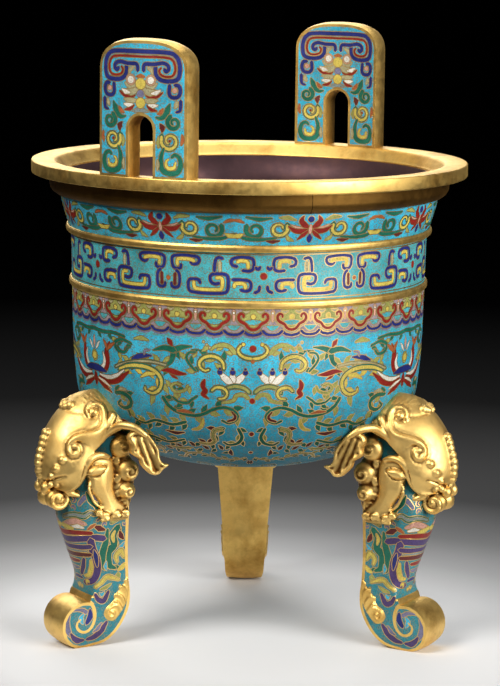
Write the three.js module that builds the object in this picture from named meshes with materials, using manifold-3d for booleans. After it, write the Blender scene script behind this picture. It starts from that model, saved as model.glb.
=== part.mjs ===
// Tripod incense burner: a hollow enamelled bowl with a gilt rim, two upright loop handles on the rim,
// two gilt mouldings round the wall and three enamelled legs that leave gilt beast masks and end in scrolls.
// Millimetres, +Z up, feet on z = 0. The handles stand on the X axis and one leg points to -Y.
import * as THREE from "three";
import { mergeVertices } from "three/addons/utils/BufferGeometryUtils.js";
import Module from "manifold-3d";

const solidKit = await Module();
solidKit.setup();
const { Manifold, Mesh: SolidMesh } = solidKit;

// Fit and facets
const gap = 0.3;
const ringSegments = 48;

// Bowl: superellipse belly, near straight wall, flared neck
const bellyRadius = 138.9;
const bellyTop = 214;
const bellyDepth = 77;
const bellyPower = 2.4;
const floorRadius = 40;
const wallThickness = 3.6;
const lowerMouldingLow = 280.8;
const lowerMouldingHigh = 287.4;
const upperMouldingLow = 324;
const upperMouldingHigh = 330;
const neckTop = 370.7;
const neckRadius = 151.4;

// Rim and the collar below it
const rimRadius = 175;
const rimLow = 371;
const rimHigh = 381.4;
const rimInnerRadius = 157;
const rimInnerHigh = 378.4;
const collarLow = 354.4;
const collarRadius = 160.5;

// Handles: slabs bent to the curve of the rim, set a little round from square with the legs
const handleTurn = 1.8;
const handleHeight = 102.3;
const handleHalfWidth = 37.7;
const handleDome = 24;
const handleInner = 157.2;
const handleOuter = 174.8;
const openingHalfWidth = 10.7;
const openingHeight = 46.5;
const openingArch = 11;

// Legs, in a frame with X outward, Y across and Z up
const legAngles = { front: -90, right: 30, left: 150 };
const legHalfWidthTop = 24;
const legHalfWidthLeaf = 19;
const footHalfWidth = 13.2;
const scrollRadius = 19.1;
const scrollX = 156.2;
const scrollZ = 18.6;
const legFrontRound = 15;

// Masks
const maskReach = 193.2;
const headHalfWidth = 31;
const snoutHalfWidth = 26;
const jawInner = 22;
const jawOuter = 32;

// The masks reach past the rim on one side, so the vessel axis stands a little back from the middle.
const axisShift = (maskReach - rimRadius) / 2;

const gilt = { color: 0xb8893a, roughness: 0.36, metalness: 1.0 };
const enamel = { color: 0x2f9db0, roughness: 0.3, metalness: 0.0 };

function toSolid(geometry) {
  const bare = new THREE.BufferGeometry();
  const flat = geometry.index ? geometry.toNonIndexed() : geometry;
  bare.setAttribute("position", flat.getAttribute("position").clone());
  const merged = mergeVertices(bare, 1e-4);
  const index = merged.index.array;
  const kept = [];
  for (let i = 0; i < index.length; i += 3) {
    const [a, b, c] = [index[i], index[i + 1], index[i + 2]];
    if (a !== b && b !== c && c !== a) kept.push(a, b, c);
  }
  const make = (order) =>
    new Manifold(
      new SolidMesh({
        numProp: 3,
        vertProperties: merged.attributes.position.array,
        triVerts: new Uint32Array(order),
      }),
    );
  const made = make(kept);
  if (made.volume() > 0) return made;
  const turned = [];
  for (let i = 0; i < kept.length; i += 3) turned.push(kept[i], kept[i + 2], kept[i + 1]);
  return make(turned);
}

function toMesh(name, solid, finish) {
  const data = solid.getMesh();
  const geometry = new THREE.BufferGeometry();
  geometry.setAttribute("position", new THREE.BufferAttribute(new Float32Array(data.vertProperties), 3));
  geometry.setIndex(new THREE.BufferAttribute(new Uint32Array(data.triVerts), 1));
  const faceted = geometry.toNonIndexed();
  faceted.computeVertexNormals();
  const mesh = new THREE.Mesh(faceted, new THREE.MeshStandardMaterial(finish));
  mesh.name = name;
  return mesh;
}

// Turns a profile of [radius, height] points about the Z axis.
function turn(profile, segments = ringSegments) {
  const points = profile.map(([r, z]) => new THREE.Vector2(r, z));
  return toSolid(new THREE.LatheGeometry(points, segments).rotateX(Math.PI / 2));
}

function turnRing(section, segments = ringSegments) {
  return turn([...section, section[0]], segments);
}

function spline(points, count) {
  const curve = new THREE.SplineCurve(points.map(([x, y]) => new THREE.Vector2(x, y)));
  return curve.getPoints(count).map((p) => [p.x, p.y]);
}

function mix(table, at) {
  if (at <= table[0][0]) return table[0][1];
  for (let i = 1; i < table.length; i += 1) {
    const [x0, y0] = table[i - 1];
    const [x1, y1] = table[i];
    if (at <= x1) return y0 + ((y1 - y0) * (at - x0)) / (x1 - x0);
  }
  return table[table.length - 1][1];
}

// Skins a row of outlines, each a list of [x, y, z] with the same count, and closes both ends.
function skin(layers) {
  const count = layers[0].length;
  const vertices = layers.flat();
  const faces = [];
  for (let k = 0; k + 1 < layers.length; k += 1) {
    for (let i = 0; i < count; i += 1) {
      const j = (i + 1) % count;
      const [a, b, c, d] = [k * count + i, k * count + j, (k + 1) * count + j, (k + 1) * count + i];
      faces.push([a, b, c], [a, c, d]);
    }
  }
  const flat = (layer) => layer.map(([x, , z]) => new THREE.Vector2(x, z));
  const last = (layers.length - 1) * count;
  const closing = (layer, first, outward) => {
    const outline = flat(layer);
    const way = THREE.ShapeUtils.area(outline) * outward;
    for (const [a, b, c] of THREE.ShapeUtils.triangulateShape(outline, [])) {
      const turned = THREE.ShapeUtils.area([outline[a], outline[b], outline[c]]) * way > 0;
      faces.push(turned ? [first + a, first + b, first + c] : [first + a, first + c, first + b]);
    }
  };
  closing(layers[0], 0, -1);
  closing(layers.at(-1), last, 1);
  const geometry = new THREE.BufferGeometry();
  geometry.setAttribute("position", new THREE.Float32BufferAttribute(vertices.flat(), 3));
  geometry.setIndex(faces.flat());
  return toSolid(geometry);
}

// A plate with the given [x, z] outline between two Y positions.
function plate(outline, low, high) {
  return skin([outline.map(([x, z]) => [x, low, z]), outline.map(([x, z]) => [x, high, z])]);
}

function ball(radius, place, scale = [1, 1, 1], around = 7, rows = 4) {
  const geometry = new THREE.SphereGeometry(radius, around, rows).rotateX(Math.PI / 2);
  return toSolid(geometry.scale(...scale).translate(...place));
}

function join(parts) {
  return Manifold.union(parts);
}

function mirrored(parts) {
  return [...parts, ...parts.map((part) => part.mirror([0, 1, 0]))];
}

// Outer wall of the bowl from the floor up to the neck, moved out by grow.
function bowlWall(grow, steps = 6) {
  const wall = [];
  const radius = bellyRadius + grow;
  const depth = bellyDepth + grow;
  const start = Math.asin(((floorRadius + grow) / radius) ** (bellyPower / 2));
  for (let i = 0; i <= steps; i += 1) {
    const angle = start + ((Math.PI / 2 - start) * i) / steps;
    const r = radius * Math.sin(angle) ** (2 / bellyPower);
    const z = bellyTop - depth * Math.max(Math.cos(angle), 0) ** (2 / bellyPower);
    wall.push([r, z]);
  }
  const upper = [
    [141, 234],
    [142.4, 286],
    [143.4, upperMouldingLow],
    [145.3, upperMouldingHigh],
    [147.6, 337],
  ];
  return [...wall, ...upper.map(([r, z]) => [r + grow, z])];
}

const neckOuter = [
  [neckRadius, 352],
  [neckRadius, neckTop],
];
const outerWall = [...bowlWall(0), ...neckOuter];
const innerKept = [286, upperMouldingLow, 337];
const innerWall = [
  ...bowlWall(-wallThickness, 4).filter(([, z]) => z <= bellyTop || innerKept.includes(z)),
  ...neckOuter.map(([r, z]) => [r - wallThickness, z]),
];
const vesselBody = turn([[0, outerWall[0][1]], ...outerWall, ...innerWall.reverse(), [0, innerWall.at(-1)[1]]]);

// Everything the bowl fills, with a hair of room round it, for the pieces that lean on it.
const bowlRoom = turn([
  [0, outerWall[0][1] - gap],
  ...bowlWall(gap).slice(0, 8),
  [0, 234],
]);

const collarArc = [0, 1, 2].map((i) => {
  const angle = (Math.PI / 4) * i;
  return [152.6 + (collarRadius - 152.6) * Math.sin(angle), collarLow + 7.2 * (1 - Math.cos(angle))];
});
const neckCollar = turnRing([
  [neckRadius + gap, collarLow],
  ...collarArc,
  [collarRadius, rimLow - gap],
  [neckRadius + gap, rimLow - gap],
]);

const rimRing = turnRing([
  [147.8, rimLow],
  [rimRadius, rimLow],
  [rimRadius, rimHigh],
  [rimInnerRadius, rimInnerHigh],
  [155.4, rimInnerHigh - 1.4],
]);

function moulding(lowRadius, highRadius, low, high, bulge) {
  const middle = (low + high) / 2;
  const round = (high - low) * 0.3;
  const crest = Math.max(lowRadius, highRadius) + bulge;
  return turnRing([
    [lowRadius + gap, low],
    [crest, middle - round],
    [crest, middle + round],
    [highRadius + gap, high],
  ]);
}
const upperMoulding = moulding(143.5, 145.4, upperMouldingLow, upperMouldingHigh, 1.8);
const lowerMoulding = moulding(142.4, 142.4, lowerMouldingLow, lowerMouldingHigh, 2.1);

// Handle outline across the slab: straight sides, domed top and an arched opening.
function handleOutline() {
  const outline = new THREE.Shape();
  const base = rimInnerHigh - 4;
  const top = rimHigh + handleHeight;
  const springs = top - handleDome;
  outline.moveTo(-handleHalfWidth, base);
  outline.lineTo(-openingHalfWidth, base);
  const archTop = rimHigh + openingHeight;
  for (let i = 0; i <= 6; i += 1) {
    const angle = Math.PI - (Math.PI * i) / 6;
    outline.lineTo(openingHalfWidth * Math.cos(angle), archTop - openingArch * (1 - Math.sin(angle)));
  }
  outline.lineTo(openingHalfWidth, base);
  outline.lineTo(handleHalfWidth, base);
  for (let i = 0; i <= 12; i += 1) {
    const angle = (Math.PI * i) / 12;
    const across = Math.sign(Math.cos(angle)) * Math.abs(Math.cos(angle)) ** 0.74;
    const rise = Math.max(Math.sin(angle), 0) ** 0.74;
    outline.lineTo(handleHalfWidth * across, springs + handleDome * rise);
  }
  return outline;
}

function handle() {
  const slab = new THREE.ExtrudeGeometry(handleOutline(), { depth: 40, bevelEnabled: false });
  slab.rotateX(Math.PI / 2).rotateZ(Math.PI / 2).translate(145, 0, 0);
  const band = turnRing(
    [
      [handleInner, rimLow],
      [handleOuter, rimLow],
      [handleOuter, rimHigh + handleHeight + 5],
      [handleInner, rimHigh + handleHeight + 5],
    ],
    96,
  );
  const slope = (rimHigh - rimInnerHigh) / (rimRadius - rimInnerRadius);
  const rimRoom = turn([
    [0, rimLow - 20],
    [200, rimLow - 20],
    [200, rimHigh + gap + slope * 25],
    [rimInnerRadius - 20, rimInnerHigh + gap - slope * 20],
    [0, rimInnerHigh - 10],
  ]);
  return toSolid(slab).intersect(band).subtract(rimRoom);
}

// Side outline of a leg as [x, z]: front edge down, round the scroll, then the inner edge up.
function legOutline() {
  const hidden = [[141, 196], [156, 152]];
  const front = spline([[167.4, 126], [169.4, 106], [161.5, 80], [154, 59], [150.6, 44]], 6);
  const scroll = [];
  const low = -Math.asin(scrollZ / scrollRadius);
  const high = THREE.MathUtils.degToRad(103);
  for (let i = 0; i <= 9; i += 1) {
    const angle = high + ((low - high) * i) / 9;
    scroll.push([scrollX + scrollRadius * Math.cos(angle), scrollZ + scrollRadius * Math.sin(angle)]);
  }
  const inner = spline([[151.8, 0], [138, 2.6], [128.6, 9.5], [121.5, 19], [117, 30], [116.4, 42], [118.6, 56]], 8);
  return [...hidden, ...front, ...scroll, ...inner, [120.4, 84], [120.8, 196]];
}

const legWidths = [
  [21, footHalfWidth],
  [42, legHalfWidthLeaf],
  [106, legHalfWidthTop],
];

function legLayer(side, grow) {
  return legOutline().map(([x, z]) => {
    const middle = z > 42 ? 140 : 132;
    const front = x > middle ? mix([[40, 0], [62, 1]], z) : 0;
    const back = legFrontRound * (1 - Math.sqrt(1 - side * side)) * front;
    const out = x > middle ? grow : -grow;
    return [x - back + out, side * (mix(legWidths, z) + grow), z];
  });
}

function leafOutline() {
  const edge = spline([[117.6, 51], [123.4, 44], [127, 37.5], [132.6, 31], [141, 28.4], [144.2, 24], [140.4, 19.6]], 7);
  const back = spline([[135.8, 22.6], [131.6, 18], [126, 11.6], [119.4, 18.6], [115.2, 29.5], [114.8, 42]], 6);
  return [...edge, ...back];
}

function leg() {
  const sides = [-1, -0.84, -0.45, 0.45, 0.84, 1];
  const shaft = skin(sides.map((side) => legLayer(side, 0)));
  const leafLayers = [-1, 1].map((side) =>
    leafOutline().map(([x, z]) => [x, side * (mix(legWidths, z) + 1.6), z]),
  );
  return join([shaft, skin(leafLayers)]).subtract(bowlRoom);
}

function legRoom() {
  const sides = [-1, -0.84, -0.45, 0.45, 0.84, 1];
  return skin(sides.map((side) => legLayer(side, gap)));
}

// Head and upper jaw of a mask as [x, z]: a broad brow that narrows to a keeled snout.
function headLayer(side) {
  const profile = spline(
    [[130, 204], [152, 200.6], [166.4, 192.6], [178, 177], [185.8, 160], [188.2, 146], [184, 132]],
    8,
  );
  const under = [[174, 130.5], [166, 140], [152, 152], [142, 166], [126, 172]];
  const fall = mix([[0, 0], [0.4, 5], [0.78, 12], [1, 20]], Math.abs(side));
  const brow = (z) => mix([[176, 1], [194, 1.5]], z);
  const moved = [...profile.map(([x, z]) => [x - fall * brow(z), z]), ...under.map(([x, z]) => [x - fall * 0.5, z])];
  return moved.map(([x, z]) => {
    const half = mix([[152, headHalfWidth], [172, 28], [184, snoutHalfWidth]], x + fall);
    return [x, side * half, z];
  });
}

function jawPlate() {
  const front = [[149, 166], [158.4, 151], [157.6, 139], [150.6, 124], [150, 107]];
  const back = [[126.5, 105.5], [125, 122], [136, 168]];
  return plate([...front, ...back], jawInner, jawOuter);
}

function mask() {
  const head = skin([-1, -0.78, -0.4, 0, 0.4, 0.78, 1].map((side) => headLayer(side)));
  const knobs = [[162, 194, 3.4], [181, 170.4, 3], [187.4, 157, 3.4], [189.6, 148, 3.6], [187.8, 138.4, 3.2]];
  const ridge = knobs.map(([x, z, r]) => ball(r, [x, 0, z], [1, 1, 1], 4, 2));
  const sides = [
    ball(9, [152, 25.5, 189], [0.95, 0.8, 0.95], 6, 3),
    ball(10.4, [174.6, 5, 122.6], [1, 1, 1], 6, 4),
    ball(10, [135, 33, 164.5], [1, 0.75, 1], 6, 3),
    ball(9.4, [126.6, 32, 142.5], [1, 0.85, 1], 6, 3),
    ball(7.2, [131.4, 31, 126.4], [1, 0.8, 1], 6, 3),
    ball(6, [149.5, 28.5, 109.5], [1, 1, 0.9], 6, 3),
    jawPlate(),
    earRim(),
    earFlap(),
  ];
  return join([head, ...ridge, ...mirrored(sides)]).subtract(legRoom()).subtract(bowlRoom);
}

// Horn-like upper edge of an ear, from the temple back along the bowl.
function earRim() {
  const stations = [[27, 149, 180, 6.5], [40, 135, 186, 5.4], [49, 123.5, 183.4, 5], [54.5, 117, 177, 4.4]];
  return skin(
    stations.map(([y, x, z, r]) =>
      [0, 1, 2, 3, 4, 5].map((i) => {
        const angle = (Math.PI * i) / 3;
        return [x + r * Math.cos(angle), y, z + r * Math.sin(angle)];
      }),
    ),
  );
}

// Hanging leaf of an ear, turning away from the head towards its tip.
function earFlap() {
  const outline = [[126, 166], [121, 180], [111, 174], [103, 162], [95.5, 149.5], [107, 147], [120, 153]];
  const lean = (x) => (124 - x) * 0.4;
  return skin([44, 50].map((y) => outline.map(([x, z]) => [x, y + lean(x), z])));
}

const root = new THREE.Group();
root.name = "incense_burner";
const burner = new THREE.Group();
burner.position.y = axisShift;
root.add(burner);

burner.add(toMesh("vessel_body", vesselBody, enamel));
burner.add(toMesh("neck_collar", neckCollar, gilt));
burner.add(toMesh("rim_ring", rimRing, gilt));
burner.add(toMesh("upper_moulding", upperMoulding, gilt));
burner.add(toMesh("lower_moulding", lowerMoulding, gilt));

const handleSolid = handle();
const handlePair = new THREE.Group();
handlePair.rotation.z = THREE.MathUtils.degToRad(handleTurn);
const rightHandle = toMesh("handle_right", handleSolid, gilt);
const leftHandle = toMesh("handle_left", handleSolid, gilt);
leftHandle.rotation.z = Math.PI;
handlePair.add(rightHandle, leftHandle);
burner.add(handlePair);

const legSolid = leg();
const maskSolid = mask();
for (const [place, angle] of Object.entries(legAngles)) {
  const spoke = new THREE.Group();
  spoke.rotation.z = THREE.MathUtils.degToRad(angle);
  spoke.add(toMesh(`leg_${place}`, legSolid, enamel));
  spoke.add(toMesh(`mask_${place}`, maskSolid, gilt));
  burner.add(spoke);
}

export default root;
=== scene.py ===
import math
import random

import bmesh
import bpy
import numpy as np
from mathutils import Matrix, Vector, geometry
from mathutils.bvhtree import BVHTree


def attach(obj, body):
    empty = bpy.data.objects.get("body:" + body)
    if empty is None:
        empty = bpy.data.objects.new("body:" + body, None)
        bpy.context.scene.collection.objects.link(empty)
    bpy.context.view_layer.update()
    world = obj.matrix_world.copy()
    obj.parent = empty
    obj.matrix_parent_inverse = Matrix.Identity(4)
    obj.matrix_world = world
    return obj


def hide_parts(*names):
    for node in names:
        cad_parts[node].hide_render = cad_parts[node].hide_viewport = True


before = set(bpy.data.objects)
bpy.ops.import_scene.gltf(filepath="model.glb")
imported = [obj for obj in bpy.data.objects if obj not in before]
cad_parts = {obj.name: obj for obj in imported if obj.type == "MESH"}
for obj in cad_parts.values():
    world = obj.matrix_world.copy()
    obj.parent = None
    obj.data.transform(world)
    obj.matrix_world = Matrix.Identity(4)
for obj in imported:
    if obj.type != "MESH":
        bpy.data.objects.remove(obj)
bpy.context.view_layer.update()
print("frame loaded", sorted(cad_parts))

axisShift = 9.1  # mm, the vessel's axis sits this far behind the frame's middle
toFrame = Matrix.Scale(0.001, 4) @ Matrix.Translation((0, axisShift, 0))
noiseSeed = np.random.RandomState(7)
roundSteps = 240  # sides of everything that is turned
stationTurn = 360 / roundSteps


# Colours

def paint(red, green, blue):
    tone = [c / 255 for c in (red, green, blue)]
    return tuple(c / 12.92 if c < 0.04045 else ((c + 0.055) / 1.055) ** 2.4 for c in tone) + (1.0,)


enamelTones = {
    "wire": paint(196, 160, 92),
    "gilt": paint(200, 160, 84),
    "sky": paint(60, 176, 204),
    "turquoise": paint(74, 168, 174),
    "teal": paint(52, 132, 142),
    "cobalt": paint(34, 44, 112),
    "purple": paint(76, 58, 104),
    "lilac": paint(118, 116, 142),
    "red": paint(138, 34, 26),
    "darkRed": paint(96, 36, 34),
    "orange": paint(170, 92, 52),
    "yellow": paint(208, 186, 84),
    "olive": paint(156, 156, 84),
    "green": paint(28, 104, 82),
    "white": paint(226, 220, 204),
    "pink": paint(204, 152, 132),
    "tan": paint(168, 160, 120),
    "mauve": paint(150, 134, 138),
    "grey": paint(128, 140, 134),
    "copper": paint(96, 62, 52),
}
toneIndex = {name: i for i, name in enumerate(enamelTones)}
metalTones = ("wire", "gilt")
groundTones = ("sky", "turquoise", "teal")


# Materials

def grey(value):
    return (value, value, value, 1.0)


class Shading:
    def __init__(self, name):
        self.material = bpy.data.materials.new(name)
        self.material.use_nodes = True
        self.nodes = self.material.node_tree.nodes
        self.links = self.material.node_tree.links
        self.shader = self.nodes["Principled BSDF"]

    def join(self, value, socket):
        # a constant is set on the socket, and another node's output is linked to it
        if isinstance(value, (int, float, tuple)):
            socket.default_value = value
        else:
            self.links.new(value, socket)

    def put(self, name, value):
        self.join(value, self.shader.inputs[name])

    def node(self, kind, **inputs):
        made = self.nodes.new("ShaderNode" + kind)
        for name, value in inputs.items():
            self.join(value, made.inputs[name])
        return made

    def coords(self):
        return self.node("TexCoord").outputs["Object"]

    def noise(self, scale, detail, rough):
        texture = self.node("TexNoise", Scale=scale, Detail=detail, Roughness=rough, Vector=self.coords())
        return texture.outputs["Fac"]

    def ramp(self, source, stops):
        # a stop is a place and a tone, where a single number stands for a grey
        ramp = self.node("ValToRGB", Fac=source)
        while len(ramp.color_ramp.elements) < len(stops):
            ramp.color_ramp.elements.new(0.5)
        for element, (place, tone) in zip(ramp.color_ramp.elements, stops):
            element.position = place
            element.color = tone if isinstance(tone, tuple) else grey(tone)
        return ramp.outputs["Color"]

    def mix(self, kind, first, second, share):
        mix = self.node("Mix")
        mix.data_type = "RGBA"
        mix.blend_type = kind
        for name, value in (("A", first), ("B", second)):
            self.join(value, [i for i in mix.inputs if i.name == name and i.type == "RGBA"][0])
        self.join(share, [i for i in mix.inputs if i.name == "Factor" and i.type == "VALUE"][0])
        return [o for o in mix.outputs if o.type == "RGBA"][0]

    def reckon(self, kind, *values):
        made = self.node("Math")
        made.operation = kind
        for socket, value in zip(made.inputs, values):
            self.join(value, socket)
        return made.outputs[0]

    def bump(self, height, strength, distance):
        made = self.node("Bump", Strength=strength, Distance=distance, Height=height)
        self.put("Normal", made.outputs["Normal"])


curl = {
    "size": 0.23,  # curls for each mm of the drawing
    "scatter": 0.8,
    "start": 0.12,  # reach in shares of a cell, and its growth in one turn
    "growth": 0.27,
    "edge": (0.055, 0.085),
    "gap": 0.08,
    "strength": 0.55,
    "metal": 0.4,
}


def curlMask(shade, ground):
    # small comma-shaped curls of wire, one in each cell of a scattered grid
    plan = shade.node("UVMap")
    plan.uv_map = "cellPlan"
    spot = shade.node("Mapping", Scale=(curl["size"],) * 3, Vector=plan.outputs["UV"]).outputs["Vector"]
    cells = shade.node("TexVoronoi", Scale=1.0, Randomness=curl["scatter"])
    cells.voronoi_dimensions = "2D"
    shade.join(spot, cells.inputs["Vector"])
    away = shade.node("VectorMath")
    away.operation = "SUBTRACT"
    shade.join(spot, away.inputs[0])
    shade.join(cells.outputs["Position"], away.inputs[1])
    parts = shade.node("SeparateXYZ", Vector=away.outputs["Vector"])
    chance = shade.node("SeparateColor", Color=cells.outputs["Color"])
    angle = shade.reckon("ARCTAN2", parts.outputs["Y"], parts.outputs["X"])
    turn = shade.reckon("MULTIPLY_ADD", angle, 1 / math.tau, chance.outputs["Red"])
    share = shade.reckon("FRACT", turn)
    radius = shade.reckon("MULTIPLY_ADD", share, curl["growth"], curl["start"])
    off = shade.reckon("ABSOLUTE", shade.reckon("SUBTRACT", cells.outputs["Distance"], radius))
    line = shade.ramp(off, list(zip(curl["edge"], (1.0, 0.0))))
    gap = shade.reckon("GREATER_THAN", share, curl["gap"])
    return shade.reckon("MULTIPLY", shade.reckon("MULTIPLY", line, gap), ground)


def enamelMaterial():
    shade = Shading("enamel")
    tone = shade.node("Attribute")
    tone.attribute_name = "cellTone"
    cloud = shade.noise(55, 5, 0.6)  # firing clouds in the glass
    grain = shade.noise(900, 2, 0.6)
    clouded = shade.mix("MULTIPLY", tone.outputs["Color"], shade.ramp(cloud, [(0.25, 0.62), (0.75, 1.18)]),
        1.0)
    grained = shade.mix("MULTIPLY", clouded, shade.ramp(grain, [(0.3, 0.72), (0.62, 1.1)]), 1.0)
    pits = shade.node("TexVoronoi", Scale=420, Vector=shade.coords())
    pitMask = shade.ramp(pits.outputs["Distance"], [(0.08, 1.0), (0.17, 0.0)])
    pitted = shade.mix("MIX", grained, paint(70, 62, 48), pitMask)
    curls = curlMask(shade, tone.outputs["Alpha"])
    wired = shade.mix("MIX", pitted, paint(150, 134, 92), shade.reckon("MULTIPLY", curls, curl["strength"]))
    height = shade.node("SeparateXYZ", Vector=shade.coords())
    # painted shade: the enamel's colour and its specular level are lowered by height, darkest round the
    # lower belly
    underShadeStops = [(0.0, 0.85), (0.2, 0.78), (0.3, 0.34), (0.37, 0.5), (0.46, 0.92), (0.55, 1.0)]
    paintedUnderShade = shade.ramp(shade.reckon("MULTIPLY", height.outputs["Z"], 2.0), underShadeStops)  # painted shade, darkest round the lower belly
    shade.put("Base Color", shade.mix("MULTIPLY", wired, paintedUnderShade, 1.0))
    shade.put("Metallic", shade.reckon("MULTIPLY", curls, curl["metal"]))
    shade.put("Roughness", shade.ramp(cloud, [(0.3, 0.3), (0.7, 0.46)]))
    shade.bump(shade.mix("SUBTRACT", grain, pitMask, 0.6), 0.16, 0.0004)
    shade.put("IOR", 1.5)
    shade.put("Specular IOR Level", shade.reckon("MULTIPLY_ADD", paintedUnderShade, 0.6, -0.2))
    return shade.material


def giltMaterial(name, bright, worn, roughness, grooveAndShadeTone=None):
    shade = Shading(name)
    patch = shade.noise(26, 6, 0.62)  # where the gilding has thinned
    tone = shade.ramp(patch, [(0.3, worn), (0.52, bright), (0.8, bright)])
    stain = shade.noise(140, 5, 0.7)
    tone = shade.mix("MULTIPLY", tone, shade.ramp(stain, [(0.3, 0.7), (0.5, 1.0)]), 0.5)
    # recesses take a brown patina, and the mane and ears take the same brown as painted shade
    if grooveAndShadeTone:
        grooveAndShade = shade.node("Attribute")
        grooveAndShade.attribute_name = "grooveAndShade"
        tone = shade.mix("MIX", tone, grooveAndShadeTone, grooveAndShade.outputs["Fac"])
    shade.put("Base Color", tone)
    shade.put("Metallic", 1.0)
    shade.put("Roughness", shade.ramp(stain, [(0.25, roughness + 0.16), (0.6, roughness)]))
    shade.bump(shade.noise(320, 4, 0.6), 0.12, 0.0004)
    return shade.material


def copperMaterial():
    shade = Shading("copperInside")
    patch = shade.noise(14, 6, 0.65)
    tones = [(0.25, paint(42, 27, 31)), (0.5, paint(72, 49, 51)), (0.75, paint(98, 65, 56))]
    shade.put("Base Color", shade.ramp(patch, tones))
    shade.put("Metallic", 0.75)
    shade.put("Roughness", shade.ramp(patch, [(0.3, 0.62), (0.7, 0.42)]))
    shade.bump(shade.noise(90, 5, 0.6), 0.2, 0.0012)
    return shade.material


enamel = enamelMaterial()
giltWire = giltMaterial("giltWire", paint(204, 168, 104), paint(172, 132, 76), 0.42)
# painted shade: the collar under the rim takes a darker copy of the gilt
giltCollarPaintedShade = giltMaterial("giltCollarPaintedShade", paint(116, 84, 38), paint(84, 58, 24), 0.46)
giltPlain = giltMaterial("giltPlain", paint(240, 200, 114), paint(190, 144, 68), 0.4)
giltMask = giltMaterial("giltMask", paint(234, 196, 118), paint(212, 168, 88), 0.43, paint(92, 56, 20))
copperInside = copperMaterial()
facedSlots = {"enamel": enamel, "metal": giltWire, "gilt": giltPlain}  # for pieces with enamel on them
print("materials made")


# Drawing the cloisons: lines, bands and cells in a flat sheet, in mm

def runOf(line):
    return np.concatenate([[0], np.cumsum(np.hypot(*np.diff(line, axis=0).T))])


def unitRows(rows):
    return rows / np.maximum(np.linalg.norm(rows, axis=1), 1e-9)[:, None]


def leftOf(run):
    return np.stack([-run[:, 1], run[:, 0]], 1)


def padEnds(p):
    return np.vstack([2 * p[0] - p[1], p, 2 * p[-1] - p[-2]])


def curveThrough(a, b, c, d, t):
    # the smooth curve from b to c, with a and d as its neighbours
    return 0.5 * (2 * b + (c - a) * t + (2 * a - 5 * b + 4 * c - d) * t ** 2
                  + (3 * b - a - 3 * c + d) * t ** 3)


def evenly(line, step):
    length = runOf(line)
    stations = np.linspace(0, length[-1], max(3, int(round(length[-1] / step)) + 1))
    return np.stack([np.interp(stations, length, line[:, i]) for i in (0, 1)], 1)


def smoothLine(points, step=0.7):
    p = np.array(points, float)
    padded = padEnds(p)
    t = np.linspace(0, 1, 9)[:-1][:, None]
    runs = [curveThrough(*padded[i:i + 4], t) for i in range(len(p) - 1)]
    return evenly(np.vstack(runs + [p[-1:]]), step)


def cutCorners(points, step=0.7):
    p = np.array(points, float)
    for turn in range(2):
        q = 0.75 * p[:-1] + 0.25 * p[1:]
        r = 0.25 * p[:-1] + 0.75 * p[1:]
        p = np.vstack([p[:1], np.stack([q, r], 1).reshape(-1, 2), p[-1:]])
    return evenly(p, step)


def spiralLine(centre, outer, inner, start, turns):
    t = np.linspace(0, 1, max(8, int(abs(turns) * 18)))
    radius = outer + (inner - outer) * t
    angle = np.radians(start + 360 * turns * t)
    return np.stack([centre[0] + radius * np.cos(angle), centre[1] + radius * np.sin(angle)], 1)


def band(line, halfWidth, extra=0.0):
    widths = np.atleast_1d(np.array(halfWidth, float))
    w = np.interp(np.linspace(0, 1, len(line)), np.linspace(0, 1, len(widths)), widths) + extra
    run = unitRows(np.gradient(line, axis=0))
    side = leftOf(run)
    endCap = line[-1] + run[-1] * w[-1]
    startCap = line[0] - run[0] * w[0]
    left = thinned(line + side * w[:, None])
    back = thinned((line - side * w[:, None])[::-1])
    return np.vstack([left, endCap[None], back, startCap[None]])


curveSlack = 0.2  # mm that a kept line may stray from the drawn one
longStraight = 6.5  # mm, and a longer straight is cut, because the wall it lies on is round


def thinned(line):
    # only the points that the curve needs are kept
    keep = np.zeros(len(line), bool)
    keep[[0, -1]] = True
    spans = [(0, len(line) - 1)]
    while spans:
        i, j = spans.pop()
        if j - i < 2:
            continue
        chord = line[j] - line[i]
        away = line[i + 1:j] - line[i]
        length = math.hypot(*chord)
        if length > 1e-6:
            off = np.abs(away[:, 0] * chord[1] - away[:, 1] * chord[0]) / length
        else:
            off = np.hypot(*away.T)
        k = int(off.argmax())
        if off[k] <= curveSlack and length > longStraight:
            k = (j - i) // 2 - 1
        elif off[k] <= curveSlack:
            continue
        keep[i + 1 + k] = True
        spans += [(i, i + 1 + k), (i + 1 + k, j)]
    return line[keep]


wireWidth = 0.62  # mm of gilt wire beside each cell


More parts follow.
